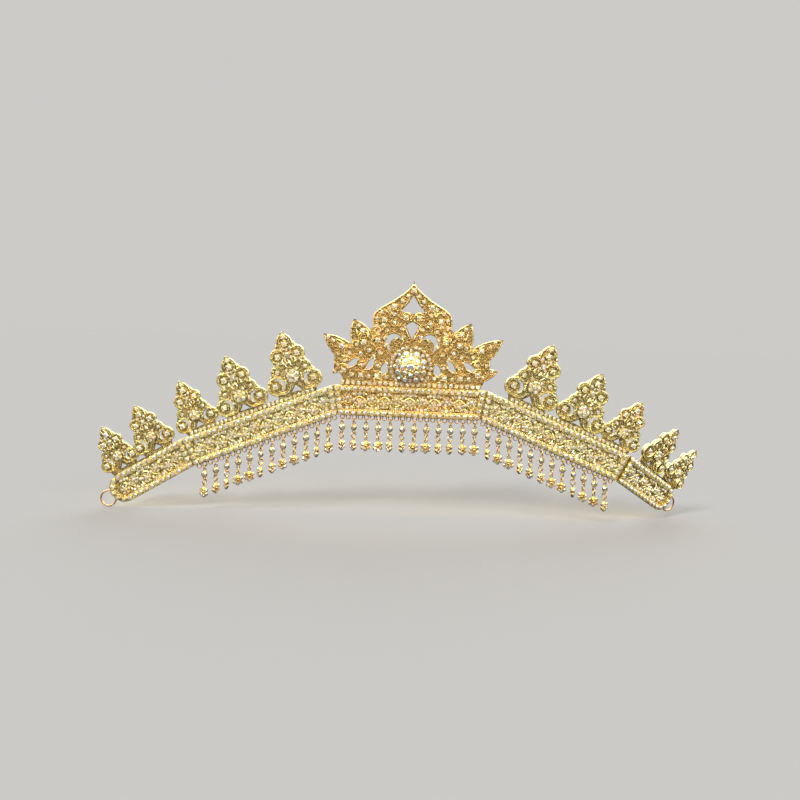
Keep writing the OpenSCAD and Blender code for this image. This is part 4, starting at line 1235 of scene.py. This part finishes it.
def rosette_ornament(bench):
    """Rims, grains and stones of the domed flower riveted to the centre crest."""
    place = shift(z=BAND_HALF + ROSETTE_B) @ SHEET
    face, heart = ROSETTE_BASE + 1.1, ROSETTE_BASE + 2.7
    outer, inner = 45 * (np.arange(8) + 0.5), 45 * np.arange(8.0)

    def ring(r, degrees):
        return circle(r, np.radians(degrees))

    def cupped(points, cup_c, stone_c, size, lean):
        bench.metal.add(SEED_CUP, place @ spots(points, cup_c, size, 0, *lean))
        bench.stone(place, points, stone_c, size=size, prongs=0, lean=lean)

    bench.hoop(place, ring(0.68 * ROSETTE_R, outer), 2.3, 0.34, face, 20)
    bench.metal.add(ROSETTE_DOME, place @ spots([0, 0], heart - 0.25))
    bench.hoop(place, [0, 0], 0.62 * ROSETTE_R - 0.3, 0.36, heart, 48)
    bench.beads(place, ring(0.62 * ROSETTE_R + 0.08, 7.5 * np.arange(48)), face + 0.85, 0.34, GRAIN)
    bench.seed(place, ring(0.95 * ROSETTE_R, inner), face - 0.7, 1.0)
    bench.seed(place, ring(0.74 * ROSETTE_R, inner), face + 0.1, 1.0)
    cupped(ring(0.79 * ROSETTE_R, outer), face + 0.2, face - 0.35, 1.42, (12, outer))
    cupped(ring(3.85, inner), heart + 0.55, heart + 0.05, 1.28, (20, inner))
    bench.beads(place, ring(2.95, outer), heart + 0.85, 0.3)
    bench.stone(
        place, [0, 0], heart + 0.25, size=2.05 * STONE_R, tall=0.94, prongs=6, stretch=(1.15, 0.88),
        lean=(4, 250),
    )


# Drop of the fringe: heights of its parts, from the middle of its rail ring.
JUMP_B, LINK_TOP_B, LINK_B, LINK_LOW_B = -1.61, -2.91, -5.25, -7.59
LOOP_B, EYE_B, FLOWER_B = -9.19, -10.79, -14.33
# Its wire, and the radii of its rings, its link stone, its ring of petals and a petal.
WIRE, JUMP_R, EYE_R, LOOP_R = 0.24, 1.15, 0.75, 1.45
LINK_STONE_R, PETALS_R, PETAL_R = 1.34, 1.92, 1.04
# Starts of the random draws of hand work, and the step of a drop's twist in degrees.
ROSETTE_SEED, FRINGE_SEED = 29, 40
TWIST_STEP = 137.5


def drop_ornament(place, twist, by_hand):
    """One drop: jump ring, stone link with two eyes, ring, and a flower of five stones with a gilt heart and
    cap. Its parts hang turned about the plumb line by 90 + 12, 30, 90 + 50 and 70 times twist."""
    metal, stones = Tray(), Tray()

    def part(degrees):
        return place @ turn("z", degrees) @ SHEET

    link, flower = part(30 * twist), part(70 * twist)
    metal.add(hoop_form(JUMP_R, WIRE, 20), part(90 + 12 * twist) @ spots([0, JUMP_B], 0))
    metal.add(hoop_form(EYE_R, WIRE, 16), link @ spots([(0, LINK_TOP_B), (0, LINK_LOW_B)], 0))
    metal.add(LINK_CUP, link @ spots([0, LINK_B], 0))
    cut = spots([0, LINK_B], 0.02, LINK_STONE_R, by_hand.uniform(0, 360)) @ np.diag([1, 1, 0.98, 1])
    stones.add(BRILLIANT, link @ cut)
    metal.add(hoop_form(LOOP_R, WIRE, 22), part(90 + 50 * twist) @ spots([0, LOOP_B], 0))
    metal.add(hoop_form(EYE_R, WIRE, 16), flower @ spots([0, EYE_B], 0))
    petals = [0, FLOWER_B] + circle(PETALS_R, np.radians(90 + 60 * np.arange(1, 6)))
    metal.add(PETAL_CUP, flower @ spots(petals, 0, PETAL_R))
    spin, tip_way = by_hand.uniform(0, 360, (2, 5))
    stones.add(BROAD_SEED, flower @ spots(petals, 0.28, PETAL_R - 0.1, spin, 7, tip_way))
    metal.add(BEAD, flower @ spots([0, FLOWER_B], 0.3, 1.0))
    metal.add(BEAD, flower @ spots([0, FLOWER_B], -0.35, 0.8) @ turn("x", 180))
    metal.add(FLOWER_CAP, flower @ shift(y=FLOWER_B + 2.15) @ turn("x", -90))
    return metal, stones


# Making the pieces
def dress_panel(panel):
    """Chased metal, seed stones and cut stones of a panel, its rail rings, and on the centre the rosette."""
    body = panel.body
    slot = "gilt_centre" if body == "centre" else "gilt_sides"
    foot = END_FOOT if panel.rounded else INNER_FOOT
    bench = Bench(7 * len(body) + 3)
    band_ornament(bench, panel)
    if panel.rings:
        make_piece(body + "_rail_rings", rail_ornament(panel), body, WIRE_GILT, "gilt_wire")
    for x, share_w, share_h, lean in panel.crests:
        place = panel.place @ shift(x, 0, BAND_HALF) @ turn("y", -lean) @ SHEET
        side_crest_ornament(bench, place, SIDE_W * share_w, SIDE_H * share_h, foot)
    if panel.crests and not panel.rounded:
        foot_ornament(bench, panel)
    if body == "centre":
        centre_crest_ornament(bench)
        flower = Bench(ROSETTE_SEED)
        rosette_ornament(flower)
        make_piece("rosette_chasing", flower.metal, body, ROSETTE_GILT, slot)
        make_piece("rosette_seed_stones", flower.seeds, body, COATED_CRYSTAL, "crystal")
        make_piece("rosette_cut_stones", flower.stones, body, COATED_CRYSTAL, "crystal", "rosette_stones")
    make_piece(body + "_chasing", bench.metal, body, GILT[body], slot)
    make_piece(body + "_seed_stones", bench.seeds, body, CRYSTAL, "crystal")
    make_piece(body + "_cut_stones", bench.stones, body, CRYSTAL, "crystal", body + "_stones")


def hang_fringe(panel):
    """The drops of a panel, on every second ring of its rail. Each hangs with its own twist."""
    order = ["left", "centre", "right"].index(panel.fringe)
    by_hand = np.random.default_rng(FRINGE_SEED + order)
    rings = (panel.rings - 2 * DROPS + 1) // 2 + 2 * np.arange(DROPS)
    for i, a in enumerate(panel.ring_a(rings)):
        hook = panel.place @ np.array([a, -RING_C, -RING_DROP, 1.0])
        hang = shift(*hook[:3]) @ turn("z", FOLD_IN if panel.fringe == "right" else 0)
        twist = math.sin(math.radians((i + 1 + 5 * order) * TWIST_STEP))
        metal, stones = drop_ornament(hang, twist, by_hand)
        name = f"{panel.fringe}_drop_{i + 1}"
        make_piece(name + "_gilt", metal, panel.body, FRINGE_GILT, "gilt_fringe", name)
        make_piece(name + "_stones", stones, panel.body, FRINGE_CRYSTAL, "crystal")


def cad_finish(node, body):
    """Material of a CAD node, by its name and its body."""
    if node == "rosette":
        return ROSETTE_GILT
    if node.endswith("_plate"):
        return GILT[body]
    if node.endswith("_stones"):
        return CRYSTAL
    return FRINGE_GILT if "_drop_" in node else WIRE_GILT


make_camera()
for panel in PANELS:
    dress_panel(panel)
    if panel.fringe:
        hang_fringe(panel)
for node, obj in frame["nodes"].items():
    obj.data.materials.clear()
    obj.data.materials.append(cad_finish(node, obj["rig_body"]))


# Stage
PALE = (0.64, 0.632, 0.616, 1)
# The floor's radius and its distance below the crown, in metres, and its corners.
FLOOR_R, FLOOR_DROP, FLOOR_CORNERS = 20, 0.0002, 64
# Greys of the room that gloss sees: by height from straight down to straight up, and by patch.
HEIGHT_GREYS = [(0.0, 0.03), (0.42, 0.055), (0.5, 0.155), (0.6, 0.32), (0.7, 0.75), (0.85, 1.0)]
PATCH_GREYS = [(0.36, 0.25), (0.46, 0.6), (0.54, 0.8), (0.62, 1.0)]
PATCH_SCALE = 4.2
# Strengths of the room as gloss, as soft light and as the eye see it.
GLOSS_STRENGTH, SOFT_STRENGTH, SEEN_STRENGTH = 4.7, 0.75, 0.944
SOFT_GREY = (0.8, 0.8, 0.8, 1)
# Suns: where from, width in degrees, strength and colour.
SUNS = {
    "key light": ((-0.5, -0.8, 0.75), 14, 1.1, (1.0, 0.97, 0.93)),
    "fill light": ((0.8, -0.7, 0.35), 30, 0.35, (0.96, 0.98, 1.0)),
    "back light": ((0.2, 0.8, 0.6), 40, 0.5, (1, 1, 1)),
}


def make_floor():
    """Plain pale paper just below the crown, which gloss doesn't see."""
    material, tree = new_material("pale floor")
    close_material(material, put(tree, "ShaderNodeBsdfPrincipled", {
        "Base Color": PALE, "Roughness": 0.7, "Specular IOR Level": 0.0,
    }))
    rim = circle(FLOOR_R, 2 * np.pi * np.arange(FLOOR_CORNERS) / FLOOR_CORNERS)
    points = np.column_stack([rim, np.full(FLOOR_CORNERS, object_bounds()[0].z - FLOOR_DROP)])
    mesh = bpy.data.meshes.new("floor")
    mesh.from_pydata(points.tolist(), [], [list(range(FLOOR_CORNERS))])
    mesh.materials.append(material)
    floor = bpy.data.objects.new("floor", mesh)
    bpy.context.scene.collection.objects.link(floor)
    floor.visible_glossy = False


def grey_ramp(tree, value, greys):
    """Grey by value, eased from each of the greys to the next."""
    return ramp(tree, value, [(at, (grey, grey, grey)) for at, grey in greys])


def backdrop(tree, colour, strength):
    """Even light of one colour from all round."""
    return put(tree, "ShaderNodeBackground", {"Color": colour, "Strength": strength}).outputs[0]


def make_world():
    """Even pale room for the eye and for soft light. Gloss sees a room that is dim below and bright above, in
    soft patches."""
    world = bpy.data.worlds.new("room")
    bpy.context.scene.world = world
    world.use_nodes = True
    tree = world.node_tree
    tree.nodes.clear()
    way = put(tree, "ShaderNodeTexCoord").outputs["Generated"]
    height = span(tree, put(tree, "ShaderNodeSeparateXYZ", {0: way}).outputs[2], -1.0, 1.0)
    by_height = grey_ramp(tree, height, HEIGHT_GREYS)
    by_patch = grey_ramp(tree, noise(tree, way, PATCH_SCALE, 2), PATCH_GREYS)
    gloss = backdrop(tree, mixed(tree, 1, by_height, by_patch, "MULTIPLY"), GLOSS_STRENGTH)
    soft, seen = backdrop(tree, SOFT_GREY, SOFT_STRENGTH), backdrop(tree, PALE, SEEN_STRENGTH)
    path = put(tree, "ShaderNodeLightPath").outputs
    mix = put(tree, "ShaderNodeMixShader", {0: path["Is Glossy Ray"], 1: soft, 2: gloss}).outputs[0]
    mix = put(tree, "ShaderNodeMixShader", {0: path["Is Camera Ray"], 1: mix, 2: seen}).outputs[0]
    put(tree, "ShaderNodeOutputWorld", {0: mix})


make_floor()
for name, light in SUNS.items():
    make_sun(name, *light)
make_world()
bpy.context.scene.view_settings.view_transform = "Standard"
